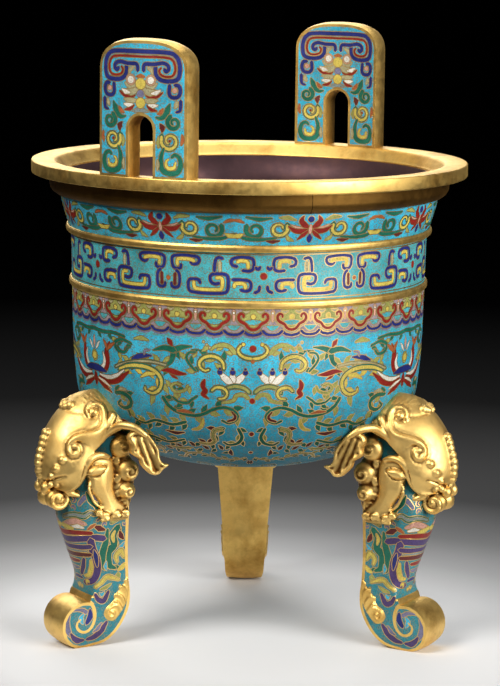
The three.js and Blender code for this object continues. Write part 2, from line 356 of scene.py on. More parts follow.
class Sheet:
    def __init__(self, across=1.0):
        self.cells = []
        self.across = across  # mm in the sheet for one unit across
        self.top = math.inf  # leaves that would pass this height are left out

    def flat(self, points):
        return [(x * self.across, y) for x, y in points]

    def stroke(self, tone, halfWidth, points, core=None, square=False):
        line = cutCorners(self.flat(points)) if square else smoothLine(self.flat(points))
        self.cells.append((band(line, halfWidth, wireWidth), "wire"))
        self.cells.append((band(line, halfWidth), tone))
        if core:
            inner = np.array(halfWidth, float) * 0.5
            self.cells.append((band(line[1:-1], inner, wireWidth * 0.5), "wire"))
            self.cells.append((band(line[1:-1], inner), core))

    def spiral(self, tone, halfWidth, centre, outer, inner, start, turns, core=None):
        line = spiralLine((centre[0] * self.across, centre[1]), outer, inner, start, turns)
        self.stroke(tone, halfWidth, [(x / self.across, y) for x, y in line[::2]], core)

    def dot(self, tone, centre, radius):
        angle = np.linspace(0, math.tau, max(9, int(round(5.2 * math.sqrt(radius + 1)))) + 1)[:-1]
        ring = np.stack([np.cos(angle), np.sin(angle)], 1)
        middle = np.array([centre[0] * self.across, centre[1]])
        self.cells.append((middle + ring * (radius + wireWidth), "wire"))
        self.cells.append((middle + ring * radius, tone))

    def leaflets(self, tones, points, every, length, halfWidth):
        # pointed leaves on both sides of a vine, set before the vine so that it covers their ends
        line = evenly(smoothLine(self.flat(points)), every)
        for i, (spot, way) in enumerate(zip(line, unitRows(np.gradient(line, axis=0)))):
            side = 1 if i % 2 else -1
            out = 0.64 * way + 0.77 * side * np.array([-way[1], way[0]])
            bend = out + 0.5 * way
            across = np.array([-out[1], out[0]])
            near = spot + out * length * 0.3
            far = spot + out * length * 0.62
            tip = spot + out * length * 0.6 + bend / np.linalg.norm(bend) * length * 0.4
            leaf = [spot, near + across * halfWidth, far + across * halfWidth * 0.8, tip,
                    far - across * halfWidth * 0.7, near - across * halfWidth]
            if max(y for x, y in leaf) < self.top:
                self.shape(tones[i % len(tones)], [(x / self.across, y) for x, y in leaf])

    def shape(self, tone, points, wired=True):
        outline = np.array(self.flat(points), float)
        if wired:
            run = unitRows(np.roll(outline, -1, 0) - np.roll(outline, 1, 0))
            sign = 1 if areaOf(outline) > 0 else -1
            grown = outline - sign * wireWidth * leftOf(run)
            self.cells.append((grown, "wire"))
        self.cells.append((outline, tone))


def fillGround(sheet, region, size, seed, tones):
    # comma leaves are set in the bare places between the larger forms
    chance = random.Random(seed)
    taken = np.vstack([cell for cell, tone in sheet.cells])
    low, high = region.min(0) + size, region.max(0) - size
    for y in np.arange(low[1], high[1], size * 1.3):
        for x in np.arange(low[0], high[0], size * 1.3):
            spot = np.array([x + chance.uniform(-0.4, 0.4) * size, y + chance.uniform(-0.4, 0.4) * size])
            start, way, tone = chance.uniform(0, 360), chance.choice((1, -1)), chance.choice(tones)
            if np.hypot(*(taken - spot).T).min() < size * 0.95 or not insideOf(region, spot[None])[0]:
                continue
            line = spiralLine(spot, size * 0.72, size * 0.3, start, 0.62 * way)
            widths = [0.2, 0.3 * size, 0.24 * size, 0.3]
            sheet.cells.append((band(line, widths, wireWidth), "wire"))
            sheet.cells.append((band(line, widths), tone))
            taken = np.vstack([taken, line])


def areaOf(outline):
    x, y = outline.T
    return 0.5 * np.sum(x * np.roll(y, -1) - np.roll(x, -1) * y)


def insideOf(outline, points):
    low, high = outline.min(0), outline.max(0)
    found = np.zeros(len(points), bool)
    near = np.where(((points >= low) & (points <= high)).all(1))[0]
    if not len(near):
        return found
    x, y = points[near].T[:, None, :]
    a = outline[:, :, None]
    b = np.roll(outline, -1, 0)[:, :, None]
    side = (b[:, 0] - a[:, 0]) * (y - a[:, 1]) - (x - a[:, 0]) * (b[:, 1] - a[:, 1])
    rising = (a[:, 1] <= y) & (b[:, 1] > y) & (side > 0)
    falling = (a[:, 1] > y) & (b[:, 1] <= y) & (side < 0)
    found[near] = (rising.sum(0) - falling.sum(0)) != 0
    return found


def mosaic(sheet, outline, ground, spacing):
    # every line of the drawing becomes mesh edges, and each small face takes the cell it lies in
    loops = [np.array(outline, float)] + [cell for cell, tone in sheet.cells]
    points, edges = [], []
    for loop in loops:
        first = len(points)
        points.extend(loop.tolist())
        edges.extend((first + i, first + (i + 1) % len(loop)) for i in range(len(loop)))
    low, high = loops[0].min(0), loops[0].max(0)
    gridX, gridY = np.meshgrid(np.arange(low[0] + spacing / 2, high[0], spacing),
                               np.arange(low[1] + spacing / 2, high[1], spacing))
    grid = np.stack([gridX.ravel(), gridY.ravel()], 1)
    grid = grid + noiseSeed.uniform(-0.15, 0.15, grid.shape) * spacing
    grid = grid[insideOf(loops[0], grid)]
    points.extend(grid.tolist())
    found = geometry.delaunay_2d_cdt([Vector(p) for p in points], edges, [], 0, 1e-3)
    corners = np.array([tuple(v) for v in found[0]])
    faces = np.array(found[2])
    middle = corners[faces].mean(1)
    keep = insideOf(loops[0], middle)
    faces, middle = faces[keep], middle[keep]
    tone = np.full(len(faces), toneIndex[ground])
    for cell, name in sheet.cells:
        tone[insideOf(cell, middle)] = toneIndex[name]
    bm = bmesh.new()
    used = np.unique(faces)
    made = {i: bm.verts.new((*corners[i], 0)) for i in used}
    for face, value in zip(faces, tone):
        bm.faces.new([made[i] for i in face]).material_index = int(value)
    bmesh.ops.recalc_face_normals(bm, faces=bm.faces)
    if sum(f.normal.z for f in bm.faces) < 0:
        bmesh.ops.reverse_faces(bm, faces=bm.faces)
    return bm


def vertsOf(geom):
    return [g for g in geom if isinstance(g, bmesh.types.BMVert)]


def toneAll(faces, tone):
    for face in faces:
        face.material_index = toneIndex[tone]


def turnAbout(bm, degrees):
    turn = Matrix.Rotation(math.radians(degrees), 3, "Z")
    bmesh.ops.rotate(bm, cent=(0, 0, 0), matrix=turn, verts=bm.verts)


def spinRound(bm, geom, angle, merge):
    bmesh.ops.spin(bm, geom=geom, cent=(0, 0, 0), axis=(0, 0, 1), angle=angle, steps=roundSteps,
        use_merge=merge)


def keepPlan(bm):
    # the flat drawing's own mm are kept as a map, for the small curls of wire in the ground
    layer = bm.loops.layers.uv.new("cellPlan")
    for face in bm.faces:
        for loop in face.loops:
            loop[layer].uv = loop.vert.co.xy


def repeatHalf(bm, width, copies):
    # a half pattern is mirrored on its left edge, and the pair is set side by side
    half = list(bm.faces)
    copy = bmesh.ops.duplicate(bm, geom=half)["geom"]
    bmesh.ops.scale(bm, vec=(-1, 1, 1), verts=vertsOf(copy))
    bmesh.ops.reverse_faces(bm, faces=[g for g in copy if isinstance(g, bmesh.types.BMFace)])
    pair = list(bm.faces)
    for i in range(1, copies):
        more = bmesh.ops.duplicate(bm, geom=pair)["geom"]
        bmesh.ops.translate(bm, vec=(2 * width * i, 0, 0), verts=vertsOf(more))
    bmesh.ops.remove_doubles(bm, verts=bm.verts, dist=0.002)


def joinInto(target, source):
    holder = bpy.data.meshes.new("holder")
    source.to_mesh(holder)
    source.free()
    target.from_mesh(holder)
    bpy.data.meshes.remove(holder)


def keepPiece(name, mesh, node):
    mesh.update()
    piece = bpy.data.objects.new(name, mesh)
    bpy.context.scene.collection.objects.link(piece)
    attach(piece, "root")
    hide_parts(node)
    print("piece", name, "triangles", sum(p.loop_total - 2 for p in mesh.polygons))


def addPiece(name, bm, slots, node, sharp=None):
    # slots: material for enamel cells, for metal cells, then any others by tone name
    mesh = bpy.data.meshes.new(name)
    bm.transform(toFrame)
    bm.to_mesh(mesh)
    bm.free()
    names = list(enamelTones)
    cell = np.zeros(len(mesh.polygons), np.int32)
    mesh.polygons.foreach_get("material_index", cell)
    materials = []
    slotOf = np.zeros(len(names), np.int32)
    for i, tone in enumerate(names):
        material = slots.get(tone, slots.get("metal") if tone in metalTones else slots.get("enamel"))
        if i not in cell:
            continue
        if material not in materials:
            materials.append(material)
        slotOf[i] = materials.index(material)
    for material in materials:
        mesh.materials.append(material)
    mesh.polygons.foreach_set("material_index", slotOf[cell])
    if enamel in materials:
        tones = np.array(list(enamelTones.values()), np.float32)
        tones[:, 3] = [name in groundTones for name in names]  # alpha marks the ground
        corners = np.repeat(cell, [p.loop_total for p in mesh.polygons])
        layer = mesh.color_attributes.new("cellTone", "FLOAT_COLOR", "CORNER")
        layer.data.foreach_set("color", tones[corners].ravel())
    mesh.polygons.foreach_set("use_smooth", [True] * len(mesh.polygons))
    if sharp:
        mesh.set_sharp_from_angle(angle=math.radians(sharp))
    keepPiece(name, mesh, node)
    return mesh


# Vessel body: one turned copper wall, cloisonné outside and bare inside

vessel = {
    "belly": (138.9, 214.0, 77.0, 2.4),  # radius, height of the widest place, depth and roundness
    "upper": [(141, 234), (142.4, 286), (143.4, 324), (145.3, 330), (147.6, 337), (151.4, 352),
        (151.4, 370.7)],
    "floorRadius": 40.0,
    "wall": 3.6,
    "fixedIn": 2.0,  # mm that the legs and masks go into the wall
    "bowlTop": 129.0,  # mm along the wall, from the height of 150 mm
    "fretFrom": 281,  # heights of the bands above it
    "neckFrom": 324,
    "lipFrom": 370,
    "skinFrom": 141,  # the true slope of the wall is used above this
    "spacing": 7.0,  # mm between the points that fill the mosaic
    "innerStep": 20.0,
    "degree": 2.478,  # mm round the belly for one degree
    "bowlTurn": 1.5,  # the patterns sit a little off the legs, in degrees
    "fretTurn": 4.5,
    "neckTurn": 18.0,
}


def wallProfile(inset):
    radius, height, depth, power = vessel["belly"]
    radius, depth = radius - inset, depth - inset
    floorTurn = math.asin((vessel["floorRadius"] / radius) ** (power / 2))
    points = []
    for t in np.linspace(floorTurn, math.pi / 2, 60):
        points.append((radius * math.sin(t) ** (2 / power), height - depth * max(math.cos(t),
            0) ** (2 / power)))
    points += [(r - inset, z) for r, z in vessel["upper"]]
    line = np.array(points)
    return smoothLine(np.vstack([line[:58:4], line[60:]]), 1.0)


outerWall = wallProfile(0.0)
outerRun = runOf(outerWall)
outerRun -= np.interp(150.0, outerWall[:, 1], outerRun)  # zero at the height of 150 mm


def runAt(height):
    return float(np.interp(height, outerWall[:, 1], outerRun))


def lift(points):
    return [(x, runAt(z)) for x, z in points]


def drawnBack(spots):
    # what would stand inside the bowl is drawn back into the thickness of its wall
    reach = np.hypot(spots[:, 0], spots[:, 1])
    wall = np.interp(spots[:, 2], outerWall[:, 1], outerWall[:, 0]) - vessel["fixedIn"]
    inside = (reach < wall) & (spots[:, 2] > outerWall[0, 1])
    scale = np.where(inside, wall / np.maximum(reach, 1.0), 1.0)
    return spots * np.stack([scale, scale, np.ones(len(scale))], 1)


def wrapOnWall(bm, turn, degree):
    for v in bm.verts:
        angle = math.radians(v.co.x / degree + turn - 150)  # they start midway between two legs
        r = float(np.interp(v.co.y, outerRun, outerWall[:, 0]))
        z = float(np.interp(v.co.y, outerRun, outerWall[:, 1]))
        v.co = (r * math.cos(angle), r * math.sin(angle), z)


def sheetBox(width, low, high, degree):
    # the level edges have a point at every side of the turned wall, so the bands meet point to point
    count = int(round(width / degree / stationTurn))
    level = [width * i / count for i in range(count + 1)]
    upright = np.linspace(low, high, int((high - low) / 6) + 2)[1:-1]  # enough to follow the curve
    right = [(width, y) for y in upright]
    left = [(0, y) for y in upright[::-1]]
    return [(x, low) for x in level] + right + [(x, high) for x in reversed(level)] + left


# lines in degrees and mm, which points have leaves where not all do, and the leaves' length and half width
vines = {
    "lowSwirl": {"line": [(29.4, 81), (27.4, 74.4), (24, 70), (19, 68), (15.5, 70), (12.5, 74), (9, 76),
        (6, 73.8), (4.5, 69.6), (5.2, 65.4), (7.6, 63), (9.6, 65)], "leafy": (0, 9),
        "tones": ("green", "olive"), "every": 6.5, "leaf": (6.4, 1.5)},
    "highSwirl": {"line": [(8.9, 106), (9.2, 111), (10.6, 114.6), (12.8, 116.2), (15.2, 114.8), (16.7, 111),
        (16.5, 107), (15, 104.4), (13.5, 105.6)], "leafy": (0, 7),
        "tones": ("olive", "green"), "every": 6, "leaf": (6.4, 1.3)},
    "longScroll": {"line": [(47, 98.6), (42.5, 102.6), (36.5, 103.8), (32, 101), (29.8, 95), (30.4, 87.4),
        (33, 83.2), (35.8, 84.8), (36, 88)], "leafy": (0, 7),
        "tones": ("olive", "yellow"), "every": 6.2, "leaf": (7.2, 1.5)},
    "riser": {"line": [(25.2, 119.6), (25.5, 114.5), (26.2, 110), (27.8, 106.6), (33, 108.2), (39, 107),
        (45, 103.4)],
        "tones": ("green", "olive"), "every": 7.5, "leaf": (6.4, 1.4)},
    "topCurl": {"line": [(5.6, 119), (6.8, 123), (9, 125.2), (11.6, 123.8), (15.4, 124.6), (18, 121)],
        "tones": ("olive", "tan"), "every": 5.5, "leaf": (5.2, 1.2)},
    "sideCurl": {"line": [(41, 120), (45, 122.6), (48.4, 119.4), (47.6, 114), (44.4, 112.6), (43, 115.6)],
        "leafy": (0, 5),
        "tones": ("green", "olive"), "every": 6, "leaf": (5.4, 1.2)},
    "topLine": {"line": [(60, 127), (55, 125.8), (49, 126.6), (44, 125)],
        "tones": ("green",), "every": 7, "leaf": (5, 1.2)},
    "legCurl": {"line": [(49.4, 79), (45.4, 79.4), (42.4, 75.4), (43, 69.8), (46, 67.4), (48.4, 70),
        (47, 73.4)], "leafy": (0, 5),
        "tones": ("green", "olive"), "every": 6, "leaf": (6, 1.4)},
    "belly": {"line": [(22, 62), (27, 58.6), (33, 61), (38, 57), (42, 60)],
        "tones": ("green", "olive"), "every": 6, "leaf": (6.5, 1.5)},
    "drop": {"line": [(9.4, 58), (12.4, 55.4), (13.2, 49.4), (12.8, 44), (15, 40.4), (18.4, 41.4)],
        "tones": ("green", "darkRed"), "every": 5.5, "leaf": (6, 1.4)},
    "dropLeft": {"line": [(4.4, 58), (3.2, 50), (4.6, 43), (7.8, 40.4), (9.6, 43.6)], "leafy": (0, 4),
        "tones": ("green", "olive"), "every": 6, "leaf": (5.4, 1.3)},
    "wave": {"line": [(24, 44), (31, 39), (38, 44), (44, 40), (50, 46), (54, 42)],
        "tones": ("green", "olive"), "every": 6.5, "leaf": (6.4, 1.5)},
    "footWave": {"line": [(2, 20), (6, 15), (13, 17), (19, 25), (25, 24), (29, 15)],
        "tones": ("green", "olive"), "every": 6.5, "leaf": (6, 1.5)},
    "footRise": {"line": [(8, 30), (12, 34.4), (17, 32.6), (21, 36), (26, 33.4), (31, 29)],
        "tones": ("green", "darkRed"), "every": 6.5, "leaf": (5.6, 1.3)},
    "footSide": {"line": [(33, 24), (39, 29), (45, 26.6), (51, 31), (57, 27.4)],
        "tones": ("green", "olive"), "every": 6.5, "leaf": (5.8, 1.3)},
    "knot": {"line": [(20.6, 92), (21.6, 88), (24.6, 86), (26.4, 89.6), (25, 93), (23, 92)],
        "leafy": (0, 5),
        "tones": ("olive", "green"), "every": 5, "leaf": (5, 1.2)},
    "stem": {"line": [(18, 104), (20, 109), (21, 114), (20, 118), (18, 118.6)], "leafy": (0, 4),
        "tones": ("olive", "green"), "every": 6, "leaf": (5.6, 1.3)},
    "hook": {"line": [(17.6, 84), (19.4, 81), (21, 78), (24, 78.6), (26, 82)], "leafy": (1, 5),
        "tones": ("green", "olive"), "every": 5, "leaf": (5, 1.2)},
}


def lotusField():
    s = Sheet(vessel["degree"])
    s.top = 127.6  # just under the band above
    for vine in vines.values():
        first, last = vine.get("leafy", (0, None))
        length, halfWidth = vine["leaf"]
        s.leaflets(vine["tones"], vine["line"][first:last], vine["every"], length * 1.45, halfWidth * 1.5)
    s.stroke("green", [1.4, 1.2, 0.9], vines["lowSwirl"]["line"])
    s.stroke("darkRed", [0.5, 1.1, 0.8], [(6.4, 72.6), (5.3, 69), (5.9, 66), (7.8, 64.6)])
    s.stroke("orange", [0.4, 1.3, 0.4], [(19.4, 70.2), (22, 71.4), (24.6, 71)])
    s.stroke("green", [1.9, 1.9, 1.7, 1.3], [(0, 114.6), (2.2, 115.4), (4.0, 118), (4.6, 121.6),
        (3.6, 125.4)], "yellow")
    s.dot("yellow", (2.9, 125.8), 1.3)
    s.stroke("olive", [1.5, 1.5, 0.9], [(5.6, 119), (6.8, 123), (9, 125.2), (11.6, 123.8), (13, 121)])
    for place in ((13.4, 122.6), (14.4, 124.8), (15.4, 127)):
        s.dot("tan", place, 0.9)
    s.stroke("green", [1.4, 2.0, 2.1, 1.7, 1.2], vines["highSwirl"]["line"], "yellow")
    s.dot("orange", (0, 112.6), 1.3)
    for tip, bend in ((2.4, 4.0), (6.2, 6.2), (10, 8.4)):
        s.stroke("white", [0.7, 2.5, 2.3, 1.2], [(6.2, 94.6), (bend, 98.6), (tip, 103)])
    for tip in (2.2, 6.2, 10.2):
        s.dot("cobalt", (tip, 103.8), 2.0)
        s.dot("cobalt", (tip, 106.4), 0.9)
    s.stroke("green", [1.8, 2.0, 1.6], [(0.8, 88), (2.4, 91.4), (5.2, 93), (8, 91.2), (9.2, 87.4)], "olive")
    s.stroke("green", [1.4, 1.9, 1.5, 1.1], [(13, 88.6), (11.4, 91.8), (8.9, 91), (7.9, 87.2), (8.8, 83.4),
        (10.8, 82.6)], "yellow")
    s.stroke("olive", [1.3, 1.4, 0.8], [(1.2, 83.6), (3, 86.6), (5, 85.6), (6, 81.6), (9.4, 79.6)])
    for height, size in ((122.5, 2.4), (81.5, 2.1), (53, 2.0), (30, 1.8)):
        s.dot("red", (0, height), size)
    s.stroke("red", [0.4, 1.9, 1.5, 1.9, 1.1, 0.3], [(15, 97.6), (15.6, 94), (15.5, 91), (14.8, 88.4),
        (15.7, 85.6), (13.8, 82.4)])
    s.stroke("red", [1.4, 1.0, 0.3], [(26.4, 101.4), (25.6, 98.6), (24, 96.8)])
    s.stroke("red", [0.3, 1.5, 2.1, 1.6, 0.3], [(21, 100.8), (24, 101.2), (27, 102.8), (29.6, 102.2)])
    s.stroke("green", [2.4, 2.1, 1.6, 1.2], [(25.2, 119.6), (25.5, 114.5), (26.2, 110), (27.8, 106.6)])
    s.stroke("green", [0.4, 1.7, 2.3], [(19.2, 122.8), (22.5, 121.6), (25.2, 119)])
    s.stroke("green", [2.3, 1.9, 0.4], [(25.2, 119), (28.6, 120.2), (32.6, 117.4)])
    s.stroke("red", [0.4, 2.0, 0.4], [(25.7, 122.2), (26.5, 125), (27.4, 127.8)])
    s.stroke("green", [1.2, 1.5, 1.2], [(27.8, 106.6), (33, 108.2), (39, 107.0), (45, 103.4), (48.6, 100)],
        "tan")
    s.stroke("green", [1.6, 2.4, 2.5, 2.4, 2.0, 1.2], vines["longScroll"]["line"], "yellow")
    s.stroke("yellow", [0.4, 1.6, 1.2], [(37.6, 94.8), (35, 98.2), (32.4, 98.6)])
    s.stroke("cobalt", [0.4, 2.0, 1.7, 0.4], [(41, 108.6), (38.6, 110.8), (36, 112.4), (33.2, 112.8)])
    s.stroke("lilac", [0.6, 0.7, 0.4], [(36, 113.4), (35.6, 116.4), (33.8, 117.2)])
    s.stroke("olive", [0.4, 1.8, 0.4], [(34.2, 124.6), (37, 125.8), (40, 124.6)])
    s.stroke("green", [0.8, 1.2, 0.9], vines["sideCurl"]["line"])
    s.stroke("green", [1.2, 1.1, 0.8], vines["topLine"]["line"])
    # the lotus above each leg
    s.stroke("red", [1.0, 2.6, 2.4, 2.6, 0.5], [(57.4, 93), (53.6, 97.6), (52.4, 104), (52.9, 111),
        (51.2, 118.6)])
    s.stroke("orange", [0.6, 1.7, 0.4], [(52.8, 112), (50.8, 115.6), (48.8, 118.6)])
    s.stroke("orange", [0.6, 1.5, 0.4], [(52.6, 113), (53.4, 116.6), (54.4, 119.6)])
    s.stroke("white", [0.8, 1.7, 1.5, 0.4], [(57.8, 94.4), (55, 98.4), (54.1, 103.6), (54.8, 109.4)])
    s.stroke("red", [1.4, 2.4, 2.7, 0.4], [(57.5, 88.8), (52, 87.2), (47, 90.6), (42.4, 98)])
    s.stroke("white", [0.6, 1.5, 1.4, 0.4], [(57.2, 91), (52.4, 90), (48.2, 93), (44.6, 98.4)])
    s.stroke("red", [1.2, 2.3, 0.4], [(59, 87), (55.6, 83.4), (51.2, 78.2)])
    s.stroke("white", [0.5, 1.2, 0.4], [(58.4, 88), (54.8, 85.6), (51.4, 82.2)])
    s.stroke("red", [1.8, 2.4, 1.4], [(60, 91), (60, 87), (60, 82.6)])
    s.stroke("cobalt", [0.5, 2.3, 2.7], [(53.4, 94.2), (56.6, 95.4), (60, 95.8)])
    s.dot("olive", (60, 105.4), 4.4)
    s.dot("yellow", (60, 105.4), 2.9)
    s.stroke("pink", [0.4, 1.6, 0.4], [(60, 112), (60, 116.6), (60, 121.4)])
    s.stroke("white", [0.4, 1.3, 0.3], [(58.9, 111), (57.8, 114.6), (56.8, 117.4)])
    s.stroke("tan", [0.4, 1.6, 0.4], [(48.4, 80), (46.4, 82.6), (44, 82.4)])
    s.stroke("green", [1.3, 1.8, 1.4, 0.8], vines["legCurl"]["line"])
    # lower scrolls, mostly behind the masks and under the belly
    s.stroke("olive", [0.8, 1.0, 0.6], vines["knot"]["line"])
    s.stroke("green", [0.8, 1.0, 0.6], vines["stem"]["line"])
    s.stroke("green", [0.7, 1.0, 0.6], vines["hook"]["line"])
    s.stroke("yellow", [0.4, 1.4, 1.2, 0.4], [(15.8, 66.4), (16.2, 61.4), (17.6, 57), (20, 55.4)])
    s.stroke("green", [1.8, 1.8, 1.2], vines["drop"]["line"], "olive")
    s.stroke("green", [1.3, 1.2, 0.8], vines["belly"]["line"])
    s.stroke("darkRed", [0.4, 1.9, 0.4], [(23, 52), (26.5, 50.6), (30, 52.4)])
    s.stroke("green", [1.2, 1.6, 1.0], vines["dropLeft"]["line"])
    s.stroke("darkRed", [0.4, 2.2, 0.4], [(7.4, 34), (7.7, 29), (7.2, 24)])
    s.stroke("green", [1.0, 1.5, 1.0], vines["footWave"]["line"], "olive")
    s.stroke("green", [1.0, 1.6, 1.2], vines["wave"]["line"])
    s.stroke("olive", [0.4, 1.7, 0.4], [(22, 34), (27, 31.6), (32, 33)])
    s.stroke("red", [0.4, 1.9, 0.4], [(44, 52), (48, 54.6), (52, 53)])
    s.spiral("green", [1.6, 1.3, 0.8], (40, 23), 9, 3, 20, 1.3, "olive")
    s.spiral("green", [1.4, 1.2, 0.8], (54, 24), 8, 3, 160, -1.2)
    s.stroke("darkRed", [0.4, 2.0, 0.4], [(0.6, 2), (0.6, 8), (0.6, 13)])
    for middle, start, way in ((10, 0, 1), (25, 180, -1), (41, 0, 1), (55, 180, -1)):
        s.spiral("green", [1.8, 1.6, 1.0], (middle, -10), 11, 3, start, 1.2 * way)
        s.dot("red", (middle + 6.6, -26), 2.6)
        s.stroke("yellow", [0.4, 2.0, 0.4], [(middle - 3, -30), (middle, -27), (middle + 3, -30)])
    return s


def ruyiBand():
    s = Sheet(vessel["degree"])
    scallop = [(0, 132), (1.6, 132.7), (2.5, 134), (3.0, 135.4)]
    joint = [(3.0, 135.4), (3.8, 133.4), (4.8, 132.5), (6, 132.3)]
    s.shape("mauve", [(-1, 156)] + [(-1, 132)] + scallop + joint[1:] + [(7, 132.3), (7, 156)], wired=False)
    for edge in (scallop, joint):
        s.cells.append((band(smoothLine(s.flat([(x, z - 0.5) for x, z in edge])), 1.5), "lilac"))
    s.stroke("cobalt", 1.0, [(x, z + 0.9) for x, z in scallop])
    s.stroke("cobalt", 1.0, [(x, z + 0.9) for x, z in joint])
    s.stroke("turquoise", [2.0, 1.5, 0.4], [(6, 138.4), (5.2, 138.8), (4.2, 140)])
    s.stroke("pink", [0.7, 1.2], [(6, 144), (6, 151.4)])
    s.dot("white", (6, 150), 0.8)
    head = [(0, 136.6), (0.9, 137), (1.8, 138.8), (2.4, 141), (3.6, 142.4), (4.4, 144.4), (4.5, 147.2),
        (3.8, 149)]
    s.shape("olive", head + [(3, 151), (3, 156), (0, 156)], wired=False)
    s.stroke("grey", 1.7, head)
    s.stroke("red", [1.0, 1.0, 1.1, 1.0, 0.8], [(x, z + 0.6) for x, z in head] + [(3.0, 148.6), (3.0, 147)])
    s.stroke("turquoise", [2.0, 1.7, 0.4], [(0, 142.9), (1.3, 143), (2.3, 143.8)])
    s.dot("yellow", (0, 147.2), 1.9)
    s.stroke("tan", [0.4, 0.9, 0.4], [(1.2, 151.8), (2.2, 150.6), (3.2, 151.8)])
    return s


def dragonFret():
    s = Sheet(vessel["degree"])
    pairs = [
        ([(25.7, 313.4), (25.8, 310.4), (27.6, 309.6), (28.6, 312), (28.9, 318.6), (27.6, 320.6),
            (21, 320.6), (19.6, 318.6), (20.1, 314.8), (21.8, 313.6), (22.6, 315.8)],
         [(26.9, 313.2), (27.1, 317.2), (26.2, 318), (22.6, 317.9), (21.5, 316.6)], "yellow"),
        ([(19.5, 300), (20, 302.8), (22.6, 303), (23.4, 301.2), (23.4, 294.4), (22, 292.2), (12.4, 292.2),
            (10.8, 294), (10.7, 305.6), (12, 307.7), (15.6, 307.4), (16.5, 305.6), (16.3, 301), (15, 299.2),
            (13.6, 300.2)],
         [(21.6, 300.4), (21.5, 296.4), (20.6, 295.1), (13.6, 295), (12.6, 296.4), (12.5, 303.4),
             (13.3, 304.7), (14.4, 304.2)], "yellow"),
        ([(8.2, 313.4), (9.9, 314.4), (10, 318.6), (8.4, 320.6), (4.2, 320.6), (3.0, 318.6), (3.0, 311.4),
            (4.4, 309.6), (6.4, 310.4)],
         [(8, 316.8), (7.4, 318), (5.4, 317.8), (4.7, 316.2), (4.8, 312.6)], "yellow"),
        ([(9.4, 303.2), (5, 303.2), (3.8, 301.4), (3.8, 296), (5.2, 294.2), (6.9, 295.4)],
         [(8.9, 297.6), (8.9, 299.8), (8.2, 300.6), (6.2, 300.5), (5.5, 299), (5.6, 297)], "yellow"),
        ([(27.3, 308.6), (26.2, 306.4), (26.1, 297.4), (27.2, 295), (28.8, 295.8), (28.9, 298.6)],
         [(27.7, 306), (27.8, 298)], "darkRed"),
        ([(15.1, 309.6), (14.9, 318.4), (13.8, 320.4), (12.6, 319.2)], [(13.4, 310), (13.4, 316.4)], "tan"),
        ([(2.4, 312.6), (1.7, 310.8), (1.2, 313)], None, None),
        ([(1.2, 298.2), (1.3, 294.6), (2.7, 293.4)], None, None),
    ]
    for outer, core, tone in pairs:
        s.stroke("cobalt", 1.15, lift(outer), square=True)
        if core:
            s.stroke(tone, 1.15, lift(core), square=True)
    s.dot("red", (0, runAt(306)), 2.6)
    s.dot("orange", (30, runAt(302.6)), 1.5)
    for height in (288.9, 322.6):
        s.cells.append((band(evenly(np.array([(-1, runAt(height)), (76, runAt(height))]), 1.5), 0.45),
            "wire"))
    return s


def neckVine():
    s = Sheet(vessel["degree"])
    s.spiral("green", [2.2, 2.0, 1.5, 1.0], (9.4, runAt(343)), 6.6, 2.6, 150, 1.15, "yellow")
    s.spiral("green", [1.6, 1.6, 1.2, 0.8], (16.4, runAt(342)), 7.0, 2.4, 30, -1.2)
    s.stroke("green", [0.6, 1.4, 1.2, 0.6], lift([(22.5, 339), (19, 335.2), (14, 334.6), (10, 336)]))
    s.stroke("yellow", [0.3, 1.7, 1.3], lift([(19.8, 338.8), (21.2, 337.2), (22.5, 337)]))
    s.stroke("darkRed", [0.3, 1.3, 0.3], lift([(9, 333.6), (11.2, 332.8), (13, 333.6)]))
    s.stroke("green", [0.4, 1.6, 0.4], lift([(11.6, 351.4), (15, 350.4), (19, 352)]))
    s.stroke("orange", [0.3, 1.1, 0.6], lift([(19.6, 347.6), (21, 349.2), (22.5, 349.6)]))
    s.stroke("olive", [0.4, 1.5, 0.4], lift([(4.6, 349.6), (6.8, 351.6), (9.4, 351.6)]))
    s.stroke("olive", [0.4, 1.5, 0.4], lift([(5, 333.4), (6.6, 335.4), (7, 338)]))
    s.stroke("pink", [0.3, 1.0, 0.3], lift([(1, 344.2), (3.4, 343.4), (5.8, 345.8)]))
    s.stroke("red", [0.8, 2.0, 1.7, 0.3], lift([(0.5, 342.4), (2.8, 340.8), (5, 341.8), (6.7, 345)]))
    s.stroke("red", [0.8, 2.2, 1.9, 0.5], lift([(0.6, 343.8), (2.0, 346), (2.9, 349.2), (2.3, 352.8)]))
    s.stroke("red", [0.7, 1.5, 0.3], lift([(0.5, 341.4), (1.8, 338.4), (3.7, 334.4)]))
    s.dot("cobalt", (0, runAt(350.2)), 2.4)
    s.stroke("pink", [0.4, 1.2, 0.8], lift([(0, 346), (0, 342.6), (0, 339)]))
    s.stroke("cobalt", [0.5, 2.1, 1.4], lift([(0, 338.4), (0, 335.4), (0, 333)]))
    return s


